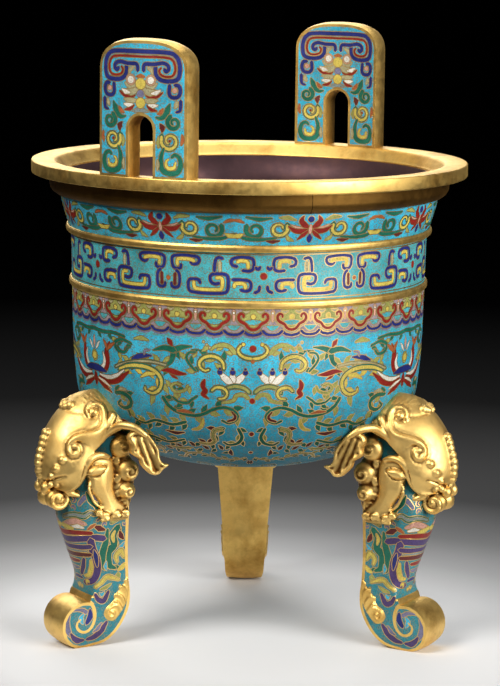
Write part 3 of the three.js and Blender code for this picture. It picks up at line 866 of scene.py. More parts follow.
def buildBody():
    degree = vessel["degree"]
    bowlTop = vessel["bowlTop"]
    fretFrom = runAt(vessel["fretFrom"])
    neckFrom = runAt(vessel["neckFrom"])
    plan = [  # drawing, degrees of its half, the levels it fills, ground and turn
        (lotusField(), 60, outerRun[0], bowlTop, "sky", "bowlTurn"),
        (ruyiBand(), 6, bowlTop, fretFrom, "turquoise", "bowlTurn"),
        (dragonFret(), 30, fretFrom, neckFrom, "turquoise", "fretTurn"),
        (neckVine(), 22.5, neckFrom, outerRun[-1], "sky", "neckTurn"),
    ]
    body = bmesh.new()
    for sheet, halfTurn, low, high, ground, turn in plan:
        width = halfTurn * degree
        part = mosaic(sheet, sheetBox(width, low, high, degree), ground, vessel["spacing"])
        repeatHalf(part, width, int(round(180 / halfTurn)))
        keepPlan(part)
        wrapOnWall(part, vessel[turn], degree)
        print("band on the wall, faces", len(part.faces))
        joinInto(body, part)
    stations = evenly(wallProfile(vessel["wall"]), vessel["innerStep"])
    inner = bmesh.new()
    chain = [inner.verts.new((float(outerWall[-1, 0]), 0, float(outerWall[-1, 1])))]
    chain += [inner.verts.new((r, 0, z)) for r, z in stations[::-1]]
    chain.append(inner.verts.new((0, 0, stations[0, 1])))
    edges = [inner.edges.new(pair) for pair in zip(chain, chain[1:])]
    spinRound(inner, chain + edges, math.tau, True)
    toneAll(inner.faces, "copper")
    toneAll([f for f in inner.faces if f.calc_center_median().z > vessel["lipFrom"]], "gilt")
    joinInto(body, inner)
    bmesh.ops.remove_doubles(body, verts=body.verts, dist=0.02)
    footRing = [e for e in body.edges if e.is_boundary]
    print("open edges round the foot", len(footRing))
    toneAll(bmesh.ops.contextual_create(body, geom=footRing)["faces"], "turquoise")
    bmesh.ops.recalc_face_normals(body, faces=body.faces)
    turnedNormals(addPiece("vesselBody", body, {**facedSlots, "copper": copperInside}, "vessel_body"))


def turnedNormals(mesh):
    # the outside takes the true direction of the turned wall, so the small faces don't show
    count = len(mesh.vertices)
    spots = np.zeros(count * 3)
    mesh.vertices.foreach_get("co", spots)
    x, y, z = spots.reshape(-1, 3).T * 1000
    y = y - axisShift
    r = np.hypot(x, y)
    run = np.interp(z, outerWall[:, 1], outerRun)
    slope = np.gradient(outerWall, outerRun, axis=0)
    dr = np.interp(run, outerRun, slope[:, 0])
    dz = np.interp(run, outerRun, slope[:, 1])
    level = (z > vessel["skinFrom"]) & (z < vessel["lipFrom"])
    onWall = (np.abs(r - np.interp(run, outerRun, outerWall[:, 0])) < 0.2) & level
    normals = np.array([v.normal for v in mesh.vertices])
    normals[onWall] = np.stack([x / np.maximum(r, 1) * dz, y / np.maximum(r, 1) * dz, -dr], 1)[onWall]
    mesh.normals_split_custom_set_from_vertices(normals.tolist())


buildBody()


# Rings of plain gilt metal, turned

ringSharp = 35  # degrees, and an edge that turns more is sharp
rings = {
    "rimRing": {
        "node": "rim_ring",
        "soft": 1.1,
        "profile": [(147.8, 371), (175, 371), (175, 381.4), (157.4, 381), (155.4, 379.6), (149.6, 372.6)],
    },
    "upperMoulding": {
        "node": "upper_moulding",
        "soft": 1.6,
        "profile": [(143.6, 324), (145.9, 324), (147.2, 325.6), (147.3, 328.2), (146.4, 330), (145.4, 330)],
    },
    "lowerMoulding": {
        "node": "lower_moulding",
        "soft": 1.6,
        "profile": [(142.3, 280.8), (143.2, 280.8), (144.5, 282.6), (144.5, 285.6), (143.3, 287.4),
            (142.5, 287.4)],
    },
}


def turnedRing(name, spec):
    bm = bmesh.new()
    corners = [bm.verts.new((r, 0, z)) for r, z in spec["profile"]]
    for pair in zip(corners, corners[1:] + corners[:1]):
        bm.edges.new(pair)
    bmesh.ops.bevel(bm, geom=corners, offset=spec["soft"], offset_type="OFFSET", affect="VERTICES",
                    segments=4, profile=0.5, material=-1, clamp_overlap=True)
    spinRound(bm, list(bm.verts) + list(bm.edges), math.tau, True)
    bmesh.ops.remove_doubles(bm, verts=bm.verts, dist=0.01)
    bmesh.ops.recalc_face_normals(bm, faces=bm.faces)
    toneAll(bm.faces, "gilt")
    addPiece(name, bm, {"gilt": giltPlain}, spec["node"], ringSharp)


for ringName, ringSpec in rings.items():
    turnedRing(ringName, ringSpec)

collar = {
    "profile": [(151.7, 354.4), (152.6, 354.4), (155.6, 355.2), (158.4, 357.2), (160.1, 360.0),
        (160.5, 362), (160.5, 370.8), (151.7, 370.8)],
    "seamAt": -132.9,  # degrees, where the strip's ends meet
    "seamGap": 0.16,
}


def seamedCollar():
    bm = bmesh.new()
    start = math.radians(collar["seamAt"] + collar["seamGap"] / 2)
    corners = [bm.verts.new((r * math.cos(start), r * math.sin(start), z)) for r, z in collar["profile"]]
    face = bm.faces.new(corners)
    spinRound(bm, [face] + list(face.edges) + corners, math.tau - math.radians(collar["seamGap"]), False)
    bmesh.ops.holes_fill(bm, edges=[e for e in bm.edges if e.is_boundary])
    bmesh.ops.recalc_face_normals(bm, faces=bm.faces)
    toneAll(bm.faces, "gilt")
    addPiece("neckCollar", bm, {"gilt": giltCollarPaintedShade}, "neck_collar", ringSharp)


seamedCollar()


# Slabs with a cloisonné face on both sides, used for the handles and the legs

def slabFrom(bm, place, wallTone, swell):
    # place(x, y, t) sets a point in the round, with t running from 1 to -1 through the slab
    keepPlan(bm)
    for v in bm.verts:
        v.co.z = -1
    for v in vertsOf(bmesh.ops.extrude_face_region(bm, geom=list(bm.faces), use_keep_orig=True)["geom"]):
        v.co.z = 1
    bmesh.ops.recalc_face_normals(bm, faces=bm.faces)
    # walls of no width go, where the two sides meet
    shut = {v for v in bm.verts if math.dist(place(*v.co.xy, 1), place(*v.co.xy, -1)) < 0.001}
    thin = [f for f in bm.faces if abs(f.normal.z) < 0.5 and all(v in shut for v in f.verts)]
    bmesh.ops.delete(bm, geom=thin, context="FACES")
    links = [e for e in bm.edges if abs(e.verts[0].co.z - e.verts[1].co.z) > 1]
    toneAll({f for e in links for f in e.link_faces}, wallTone)
    bmesh.ops.subdivide_edges(bm, edges=links, cuts=3, use_grid_fill=True)
    bm.normal_update()
    moves = {}
    for v in bm.verts:
        if abs(v.co.z) < 0.99:
            out = sum((f.normal for f in v.link_faces), Vector((0, 0, 0)))
            out.z = 0
            if out.length > 1e-6:
                moves[v] = out.normalized() * swell * (1 - v.co.z ** 2)
    for v, move in moves.items():
        v.co += move
    for v in bm.verts:
        v.co = place(*v.co)
    bmesh.ops.remove_doubles(bm, verts=bm.verts, dist=0.01)
    bmesh.ops.dissolve_degenerate(bm, edges=bm.edges, dist=0.003)
    bmesh.ops.recalc_face_normals(bm, faces=bm.faces)


# Handles: curved slabs with a domed top and an arched opening

handle = {
    "inner": 157.2,
    "outer": 174.8,
    "halfWidth": 37.7,
    "shoulder": 78.3,
    "dome": 24.0,
    "openHalf": 10.7,
    "openStraight": 35.5,
    "openArch": 11.0,
    "foot": 381.4,
    "sunk": -3.2,  # into the rim
    "panelFoot": 1.4,
    "domePower": 0.74,
    "border": 2.2,
    "spacing": 4.0,
    "swell": 1.5,
    "sharp": 50,
    "turns": {"handle_left": 181.8, "handle_right": 1.8},
}


def handleOutline(inset):
    w = handle["halfWidth"] - inset
    dome = handle["dome"] - inset
    gap = handle["openHalf"] + inset
    arch = handle["openArch"] + inset
    foot = handle["panelFoot"] if inset else handle["sunk"]
    shoulder, straight, power = handle["shoulder"], handle["openStraight"], handle["domePower"]
    points = [(0, shoulder + dome)]
    for t in np.linspace(math.pi / 2, 0, 40)[1:]:
        points.append((w * math.cos(t) ** power, shoulder + dome * math.sin(t) ** power))
    points += [(w, h) for h in np.linspace(shoulder, foot, 30)[1:]]
    points += [(gap, h) for h in np.linspace(foot, straight, 14)]
    for t in np.linspace(0, math.pi / 2, 12)[1:-1]:
        points.append((gap * math.cos(t), straight + arch * math.sin(t)))
    return points + [(0, straight + arch)]


def handleSheet():
    s = Sheet()
    inner = handleOutline(handle["border"])
    s.cells.append((np.array([(-3, inner[0][1])] + inner + [(-3, inner[-1][1])]), "sky"))
    s.stroke("cobalt", 1.6, [(0, 94.2), (22, 94), (28.6, 91.8), (31.6, 86.4), (31.8, 78.6), (30, 74.4),
        (25, 72.8), (18, 73.2), (14, 75.6), (12.4, 79.4), (12.6, 83)])
    s.stroke("red", 0.75, [(0, 90.4), (20, 90.4), (26, 88.8), (28.2, 84.6), (28.2, 79.8), (26, 76.6),
        (21, 76), (16.9, 77.4), (15.6, 80.4), (17, 82.4)])
    s.stroke("cobalt", 1.4, [(2.6, 80), (2.6, 83), (4.4, 85), (12, 85), (18, 86.2), (22.4, 84.6),
        (23.2, 81.6), (21.2, 79.8), (19.8, 81.4)])
    s.stroke("tan", [0.5, 1.4, 0.5], [(6, 82), (9, 80.6), (10, 77.6)])
    s.stroke("cobalt", 1.4, [(24, 69.6), (23.6, 64), (25.6, 61), (30.4, 61.2), (32.4, 65), (31.4, 69.4),
        (28.4, 70)])
    s.dot("pink", (28, 66), 1.9)
    s.stroke("cobalt", [1.3, 1.3, 0.8], [(32.8, 58.4), (32.4, 51.6), (29.4, 50)])
    s.stroke("tan", [0.5, 1.5, 0.6], [(29.8, 58), (29.4, 55), (28.4, 53)])
    s.stroke("green", [0.5, 2.2, 2.0, 1.5, 0.5], [(24.4, 56), (22.6, 51.8), (20.8, 47.6), (17, 45),
        (13, 45.6)])
    s.stroke("orange", [0.4, 1.6, 0.4], [(19, 52.4), (16.6, 49), (14.4, 48.2)])
    s.spiral("green", [1.7, 1.6, 1.2, 0.8], (27.6, 42), 5.6, 1.6, 120, 1.3)
    s.stroke("darkRed", [0.4, 2.3, 0.5], [(16.4, 41), (18.4, 38), (18.2, 34.8)])
    s.spiral("green", [2.0, 2.0, 1.6, 1.0], (24.4, 28.4), 7.4, 2.0, 150, 1.35, "yellow")
    s.dot("red", (24.4, 28.4), 0.9)
    s.stroke("orange", [0.4, 1.3, 0.4], [(34, 33.4), (34.6, 29.4), (33.4, 25.6)])
    s.stroke("olive", [0.4, 1.2, 0.4], [(15.4, 31), (14.8, 27), (15.6, 23)])
    s.stroke("green", [1.0, 2.0, 2.0, 1.8, 1.0], [(19.6, 22.4), (17.4, 16), (18.2, 7.4), (23, 4.4),
        (30, 4.8), (33, 9.6), (32.2, 15.8), (28.6, 18.2), (26, 16.4)])
    s.stroke("yellow", [0.5, 1.3, 1.0, 0.5], [(29.2, 12.6), (28, 8.6), (24, 7.8), (21.6, 10), (21.8, 13.4),
        (23.6, 14.8)])
    s.stroke("tan", [0.4, 1.2, 0.4], [(14.6, 14), (14.9, 10), (14.4, 6)])
    # the lotus on the middle line
    s.stroke("tan", [1.0, 2.6, 0.8], [(3, 70.4), (8.4, 68), (13.4, 70.4)])
    s.dot("pink", (8.6, 73), 4.0)
    s.dot("white", (8.6, 73), 2.8)
    s.stroke("red", [0.4, 1.2, 1.1, 0.3], [(4.6, 61.4), (9.6, 59.8), (15.4, 61.8), (18.6, 64.4)])
    s.stroke("tan", [1.8, 2.6, 0.6], [(3, 65.8), (8, 63.8), (14.2, 65.2)])
    s.stroke("white", [0.6, 1.7, 0.5], [(9.4, 63.2), (12.8, 63.6), (16.4, 65.6)])
    s.stroke("red", [0.4, 1.3, 0.4], [(5.6, 54), (9, 51.2), (13.8, 50.4)])
    s.stroke("tan", [1.2, 2.2, 0.5], [(4, 57.8), (9, 57.2), (14.4, 58.4)])
    s.stroke("white", [0.6, 1.6, 0.5], [(7, 54.6), (10.6, 54), (14.4, 54.6)])
    s.stroke("grey", [1.2, 1.5, 0.5], [(0, 50.4), (3.4, 50.4), (6.6, 49.6)])
    s.dot("yellow", (0, 70.2), 4.2)
    s.stroke("orange", [1.3, 0.5], [(0, 76), (3.4, 75.4)])
    s.dot("lilac", (0, 62.6), 3.1)
    s.dot("yellow", (0, 55.8), 3.9)
    return s


def buildHandle(node, turn):
    bm = mosaic(handleSheet(), handleOutline(0), "gilt", handle["spacing"])
    repeatHalf(bm, 100, 1)
    middle = (handle["outer"] + handle["inner"]) / 2
    half = (handle["outer"] - handle["inner"]) / 2

    def place(x, y, t):
        reach = middle + half * t
        return (math.sqrt(reach ** 2 - x ** 2), x, handle["foot"] + y)

    slabFrom(bm, place, "gilt", handle["swell"])
    turnAbout(bm, turn)
    addPiece("handle" + node[7:].capitalize(), bm, facedSlots, node, handle["sharp"])


for handleNode, handleTurn in handle["turns"].items():
    buildHandle(handleNode, handleTurn)


# Legs: a slab whose front is rounded across, ending in a scroll

leg = {
    "turns": {"leg_front": -90.0, "leg_right": 30.0, "leg_left": 150.0},
    "front": [(141, 196), (150, 170), (156, 152), (167.4, 126), (169.4, 106), (161.5, 80), (154, 59),
        (150.8, 46), (150.6, 41)],
    "inner": [(120.8, 171), (120.6, 120), (120.4, 84), (118.6, 56), (116.4, 42), (117, 30), (121.5, 19),
        (128.6, 9.5), (138, 2.6), (151.8, 0)],
    "scroll": (156.2, 18.6, 19.1),
    "top": 171.0,
    "half": ([0, 3, 10, 21, 42, 106, 200], [13.2, 15.2, 16.6, 17.2, 18.6, 24, 24]),  # by height
    "roundDepth": 15.0,
    "roundFrom": 41.0,
    "roundRise": 20,  # mm of height until the round has its full depth
    "roofFrom": 39.6,
    "seamSnap": 0.05,
    "spacing": 4.0,
    "swell": 0.8,
    "sharp": 48,
}
legFront = smoothLine(leg["front"], 1.0)[::-1]


def legHalf(z):
    return float(np.interp(z, *leg["half"]))


def legRound(z):
    # where the side stops being flat, and the quarter turn from there to the middle of the front
    front = float(np.interp(z, legFront[:, 1], legFront[:, 0]))
    depth = leg["roundDepth"] * min(max((z - leg["roundFrom"]) / leg["roundRise"], 0), 1)
    turn = np.linspace(0, math.pi / 2, 25)
    x = front - depth + depth * np.sin(turn)
    u = legHalf(z) * np.cos(turn)
    return front - depth, runOf(np.stack([x, u], 1)), x, u


def legPlace(x, y, t):
    if leg["roofFrom"] < y < leg["roundFrom"] and x > legFront[0, 0]:
        y = leg["roundFrom"]
    if y < leg["roundFrom"] - 0.001:
        return (x, t * legHalf(y), y)
    base, run, xs, us = legRound(y)
    if x <= base:
        return (x, t * legHalf(y), y)
    if x > base + run[-1] - leg["seamSnap"]:
        return (float(xs[-1]), 0.0, y)
    return (float(np.interp(x - base, run, xs)), t * float(np.interp(x - base, run, us)), y)


def legOutline():
    cx, cz, radius = leg["scroll"]
    inner = smoothLine(leg["inner"], 2.0)
    low = math.degrees(math.asin(-cz / radius))
    turns = [math.radians(a) for a in np.linspace(low, 103, 46)]
    arc = [(cx + radius * math.cos(a), cz + radius * math.sin(a)) for a in turns]
    first = legRound(leg["roundFrom"])
    front = [(first[0], leg["roundFrom"])] + [(first[0] + r, leg["roundFrom"]) for r in first[1][4::4]]
    rise = []
    for z in np.linspace(leg["roundFrom"], leg["top"], 105)[1:]:
        base, run, xs, us = legRound(z)
        rise.append((base + run[-1], z))
    top = [(x, leg["top"]) for x in np.linspace(rise[-1][0], leg["inner"][0][0], 14)[1:-1]]
    return [tuple(p) for p in inner] + arc + front + rise + top


def legSheet():
    s = Sheet()
    # clouds under the mask
    s.stroke("lilac", [1.0, 2.4, 1.4], [(140, 128), (148, 122), (158, 124), (164, 118)])
    s.stroke("green", [1.2, 2.2, 1.6, 0.6], [(149, 113.6), (150.6, 117.5), (155, 121.1), (157.7, 127.5)])
    s.stroke("green", [1.6, 2.4, 2.0, 1.4], [(150.6, 109.4), (155, 111.4), (160.3, 108.6), (168.6, 109.6),
        (180, 106.5)], "grey")
    s.stroke("green", [1.2, 1.8, 1.2], [(126, 126), (131, 116), (128, 106), (136, 101)], "olive")
    s.stroke("lilac", [0.6, 1.9, 0.6], [(138, 113), (143, 108), (149, 104)])
    # the lotus on the front
    s.stroke("pink", [1.0, 2.6, 2.2, 0.8], [(158.4, 102), (166.6, 104), (174, 102.4), (181.5, 99.4)])
    s.stroke("white", [0.6, 1.7, 0.6], [(160, 99), (165, 100.2), (170, 99.4)])
    s.stroke("yellow", [0.8, 1.9, 1.6], [(169, 97.6), (175, 97.8), (182, 99.4)])
    # dark green leaves on the flat of the side
    s.leaflets(("green", "olive"), [(129.6, 98), (134, 90.9), (132.6, 82.6), (138, 76.8), (136, 66.5),
        (128, 60)], 7, 7.5, 2.0)
    s.stroke("green", [2.2, 3.2, 3.0, 3.6, 3.0, 1.0], [(129.6, 97.6), (134, 90.9), (132.6, 82.6),
        (138, 76.8), (136, 66.5), (130.6, 63.4)])
    s.stroke("yellow", [0.5, 1.3, 0.5], [(132.6, 94), (134.2, 90), (133, 85.4)])
    s.stroke("green", [1.0, 2.8, 3.0, 1.2], [(139, 96), (140.4, 84.5), (142.6, 75.6), (140.8, 64)])
    s.stroke("sky", [0.5, 1.5, 0.5], [(139, 69.6), (139.6, 66), (138.6, 62.6)])
    s.stroke("olive", [1.2, 2.4, 2.2, 1.0], [(122.9, 71.4), (126.3, 77.2), (130.5, 73.2), (129, 68.1)],
        "yellow")
    s.stroke("sky", [0.5, 1.5, 0.5], [(123.6, 84), (125.4, 81.4), (128, 80.6)])
    s.stroke("yellow", [0.8, 2.0, 0.8], [(122, 66.4), (124.4, 63.6), (127.6, 61.6)])
    s.stroke("darkRed", [0.8, 2.2, 0.8], [(124.6, 87), (127, 90), (128, 93.4)])
    s.stroke("darkRed", [0.8, 2.4, 0.8], [(141.6, 96), (146, 97.6), (150.7, 100)])
    s.stroke("orange", [0.5, 1.5, 0.5], [(150, 101.6), (153.6, 99.6), (156.4, 97.4)])
    # the angular dragon scroll, in purple with red bars
    s.stroke("purple", [2.4, 2.6, 2.6], [(141.9, 89), (150.6, 90.6), (160.4, 89.6), (174.5, 87.4),
        (188, 86.6)])
    s.stroke("purple", [2.8, 3.0, 3.0, 2.8, 2.4, 2.0], [(153.3, 88), (151, 79.8), (147.6, 72.9),
        (146, 62.5), (149.5, 54.5), (158.1, 51.6)])
    s.stroke("purple", [1.8, 2.2, 2.0], [(153, 83), (161, 82), (172, 81), (186, 80.4)])
    s.stroke("red", [1.4, 2.0, 2.0], [(153, 94.4), (163, 94.6), (188, 92)])
    s.stroke("darkRed", [1.4, 2.0, 1.8], [(152.5, 76), (160, 75.6), (184, 74.6)])
    s.stroke("grey", [0.6, 0.9, 0.6], [(156, 79), (163, 78.6), (180, 77.8)])
    s.stroke("cobalt", [0.5, 1.7, 1.5, 0.5], [(150, 80), (148, 74), (146.4, 66)])
    s.stroke("yellow", [0.6, 1.7, 1.7, 0.7], [(152, 71.6), (151, 64.6), (153, 58.6), (157.4, 57.2)])
    s.stroke("purple", [1.4, 2.2, 1.8], [(158, 72), (158.6, 65), (160.6, 59)])
    s.stroke("red", [1.2, 1.7, 1.6], [(162.6, 69.6), (168, 69.4), (182, 69)])
    s.stroke("lilac", [1.0, 1.8, 1.6], [(163, 63.6), (168, 63), (178, 62.4)])
    s.stroke("cobalt", [1.0, 1.6, 1.4], [(161, 55), (167, 55.6), (176, 55.6)])
    # the small scroll above the leaf of the foot
    s.stroke("olive", [0.8, 2.0, 2.0, 1.0], [(126.6, 53), (130, 54.6), (137.6, 56.8), (142.4, 52.6),
        (148, 49)], "yellow")
    s.stroke("olive", [0.6, 1.5, 0.6], [(134, 50.6), (138.4, 48), (143, 47)])
    s.stroke("purple", [1.2, 2.2, 2.0, 1.2], [(135.8, 44.6), (139.8, 37.4), (144.6, 38.8), (147.6, 43.6)])
    s.stroke("sky", [0.4, 1.4, 0.4], [(139.8, 45), (141.4, 42.4), (143.6, 44.4)])
    # the scroll at the foot
    s.stroke("lilac", [1.6, 1.5, 1.0, 0.5], [(154.6, 29.4), (158, 31.6), (162, 32.4), (166.6, 32)])
    s.stroke("cobalt", [1.2, 2.6, 1.6], [(151.6, 31), (151.4, 25.4), (154.2, 20.4)])
    s.stroke("sky", [0.8, 2.0, 0.8], [(157.4, 28), (159.4, 25), (157.6, 20.6)])
    s.stroke("lilac", [0.5, 2.0, 2.2, 0.6], [(169.6, 28.6), (171.4, 22), (170, 15), (166, 9.4)])
    s.stroke("purple", [1.2, 2.6, 2.4, 1.2], [(136.4, 19.4), (141.4, 12.6), (147.6, 8.2), (153.4, 7)])
    s.stroke("lilac", [0.5, 1.5, 0.5], [(141, 19), (144.4, 14.6), (148, 12.6)])
    s.stroke("purple", [1.0, 2.4, 2.0, 0.8], [(156.4, 6.6), (161.4, 6.8), (165.4, 9.6), (168, 13.4)])
    region = np.array([(122, 42), (152, 48), (182, 50), (186, 126), (124, 130)], float)
    fillGround(s, region, 3.1, 4, ("green", "green", "olive", "yellow", "sky", "lilac"))
    inner = smoothLine(leg["inner"], 2.0)
    s.cells.append((band(inner, 2.5), "gilt"))
    cx, cz, radius = leg["scroll"]
    rim = spiralLine((cx, cz), radius - 0.6, radius - 0.6, -106, 0.603)
    s.cells.append((band(evenly(rim, 1.4), 1.5), "gilt"))
    spiral = [(151.6, 37.6), (148.6, 33), (147.2, 28), (147.4, 22), (149.8, 16.6), (154, 13.4),
        (158.8, 13.8), (162.4, 17.2), (162.6, 21.4), (159.6, 24)]
    s.cells.append((band(smoothLine(spiral), [1.5, 1.4, 1.2, 1.1, 0.8]), "gilt"))
    s.cells.append((band(evenly(np.array([(149, 41.6), (172, 41.6)]), 2.0), 0.9), "gilt"))
    return s


legLeaf = {
    "outline": [(119.2, 55.4), (122.2, 52), (122.6, 49.2), (126.3, 47.3), (126.8, 44.5), (130.9, 40.9),
                (130.6, 37.6), (132.9, 34.7), (137, 31.5), (139.2, 26.6), (137, 22), (133.3, 19.8),
                (129.6, 20), (125.8, 23.4), (120.6, 31), (117.8, 40), (117.8, 47)],
    "ribs": [
        [(118.4, 45), (119.2, 50), (120.6, 53)],
        [(118.8, 38.4), (121, 44.4), (124, 47.4)],
        [(120.8, 32.4), (124.2, 38.8), (128.6, 41.8)],
        [(123.4, 28), (127.6, 34.6), (131.4, 37)],
        [(124.6, 27.6), (127.2, 32.2), (131.2, 32.6), (135, 30.4), (136, 26.4), (133.3, 23.4),
            (130.8, 24.6), (130.8, 27), (132.6, 27.6)],
    ],
}


def nearestRun(points, line):
    a = line[:-1][None]
    step = (line[1:] - line[:-1])[None]
    t = np.clip(((points[:, None] - a) * step).sum(2) / np.maximum((step ** 2).sum(2), 1e-9), 0, 1)
    return np.linalg.norm(points[:, None] - (a + t[..., None] * step), axis=2).min(1)


def reliefShell(outline, spacing, height, place, depth, rings=()):
    # a closed plate whose upper side follows height(points, distance from the edge)
    loop = smoothLine(outline + outline[:1], spacing)
    sheet = Sheet()
    inward = leftOf(unitRows(np.gradient(loop, axis=0))) * (1 if areaOf(loop) > 0 else -1)
    for ring in rings:
        sheet.cells.append(((loop + inward * ring)[:-1], "gilt"))  # closer rows of points by a steep edge
    bm = mosaic(sheet, loop[:-1], "gilt", spacing)
    flat = np.array([v.co[:2] for v in bm.verts])
    rise = dict(zip(bm.verts, height(flat, nearestRun(flat, loop))))
    bmesh.ops.extrude_face_region(bm, geom=list(bm.faces), use_keep_orig=True)
    for v in bm.verts:
        v.co.z = rise.get(v, -depth)
    toneAll(bm.faces, "gilt")
    bmesh.ops.recalc_face_normals(bm, faces=bm.faces)
    for v in bm.verts:
        v.co = place(*v.co)
    return bm


def leafRelief():
    def height(points, edge):
        rib = np.min([nearestRun(points, smoothLine(r, 1.0)) for r in legLeaf["ribs"]], axis=0)
        body = 0.6 * np.minimum(edge / 1.4, 1) ** 0.6
        ridge = 1.4 * np.exp(-(rib / 1.2) ** 2) * np.minimum(edge / 1.0, 1)
        return (body + ridge) * np.interp(points[:, 0], [117.6, 122.6], [0.2, 1])

    return reliefShell(legLeaf["outline"], 0.8, height, lambda x, z, out: (x, legHalf(z) + out, z), 1.5)


def buildLegs():
    bm = mosaic(legSheet(), legOutline(), "teal", leg["spacing"])
    slabFrom(bm, legPlace, "gilt", leg["swell"])
    for side in (1, -1):
        leaf = leafRelief()
        if side < 0:
            bmesh.ops.scale(leaf, vec=(1, -1, 1), verts=leaf.verts)
            bmesh.ops.reverse_faces(leaf, faces=leaf.faces)
        joinInto(bm, leaf)
    for v, spot in zip(bm.verts, drawnBack(np.array([v.co for v in bm.verts]))):
        v.co = (spot[0], spot[1], max(spot[2], 0.0))
    for node, turn in leg["turns"].items():
        copy = bm.copy()
        turnAbout(copy, turn)
        addPiece("leg" + node[4:].capitalize(), copy, facedSlots, node, leg["sharp"])
    bm.free()


buildLegs()


# Masks: cast beast heads over the tops of the legs

def ballAt(bm, centre, radii, detail=2):
    made = bmesh.ops.create_icosphere(bm, subdivisions=detail, radius=1.0)["verts"]
    bmesh.ops.scale(bm, vec=radii if isinstance(radii, tuple) else (radii,) * 3, verts=made)
    bmesh.ops.translate(bm, vec=centre, verts=made)


def tubeAlong(target, path, radii, sides=10):
    # a round bar with a changing thickness
    bm = bmesh.new()
    p = np.array(path, float)
    length = np.concatenate([[0], np.cumsum(np.linalg.norm(np.diff(p, axis=0), axis=1))])
    count = max(4, int(length[-1] / 1.6))
    stations = np.linspace(0, length[-1], count)
    line = smoothSpace(p, stations / length[-1])
    r = np.interp(np.linspace(0, 1, count), np.linspace(0, 1, len(radii)), radii)
    run = np.gradient(line, axis=0)
    ring, edges, last = None, None, None
    for spot, way, size in zip(line, run, r):
        turn = Vector(way).to_track_quat("Z", "Y").to_matrix().to_4x4()
        place = Matrix.Translation(spot) @ turn @ Matrix.Scale(size, 4)
        if ring is None:
            ring = bmesh.ops.create_circle(bm, cap_ends=False, segments=sides, radius=1.0,
                matrix=place)["verts"]
            edges = list({e for v in ring for e in v.link_edges})
            bmesh.ops.edgeloop_fill(bm, edges=edges)
        else:
            made = bmesh.ops.extrude_edge_only(bm, edges=edges)["geom"]
            ring = vertsOf(made)
            edges = [g for g in made if isinstance(g, bmesh.types.BMEdge)]
            bmesh.ops.transform(bm, matrix=place @ last.inverted(), verts=ring)
        last = place
    bmesh.ops.edgeloop_fill(bm, edges=edges)
    joinInto(target, bm)


def smoothSpace(points, shares):
    chord = np.concatenate([[0], np.cumsum(np.linalg.norm(np.diff(points, axis=0), axis=1))])
    padded = padEnds(points)
    place = np.interp(shares * chord[-1], chord, np.arange(len(points)))
    out = []
    for value in place:
        i = min(int(value), len(points) - 2)
        t = value - i
        out.append(curveThrough(*padded[i:i + 4], t))
    return np.array(out)


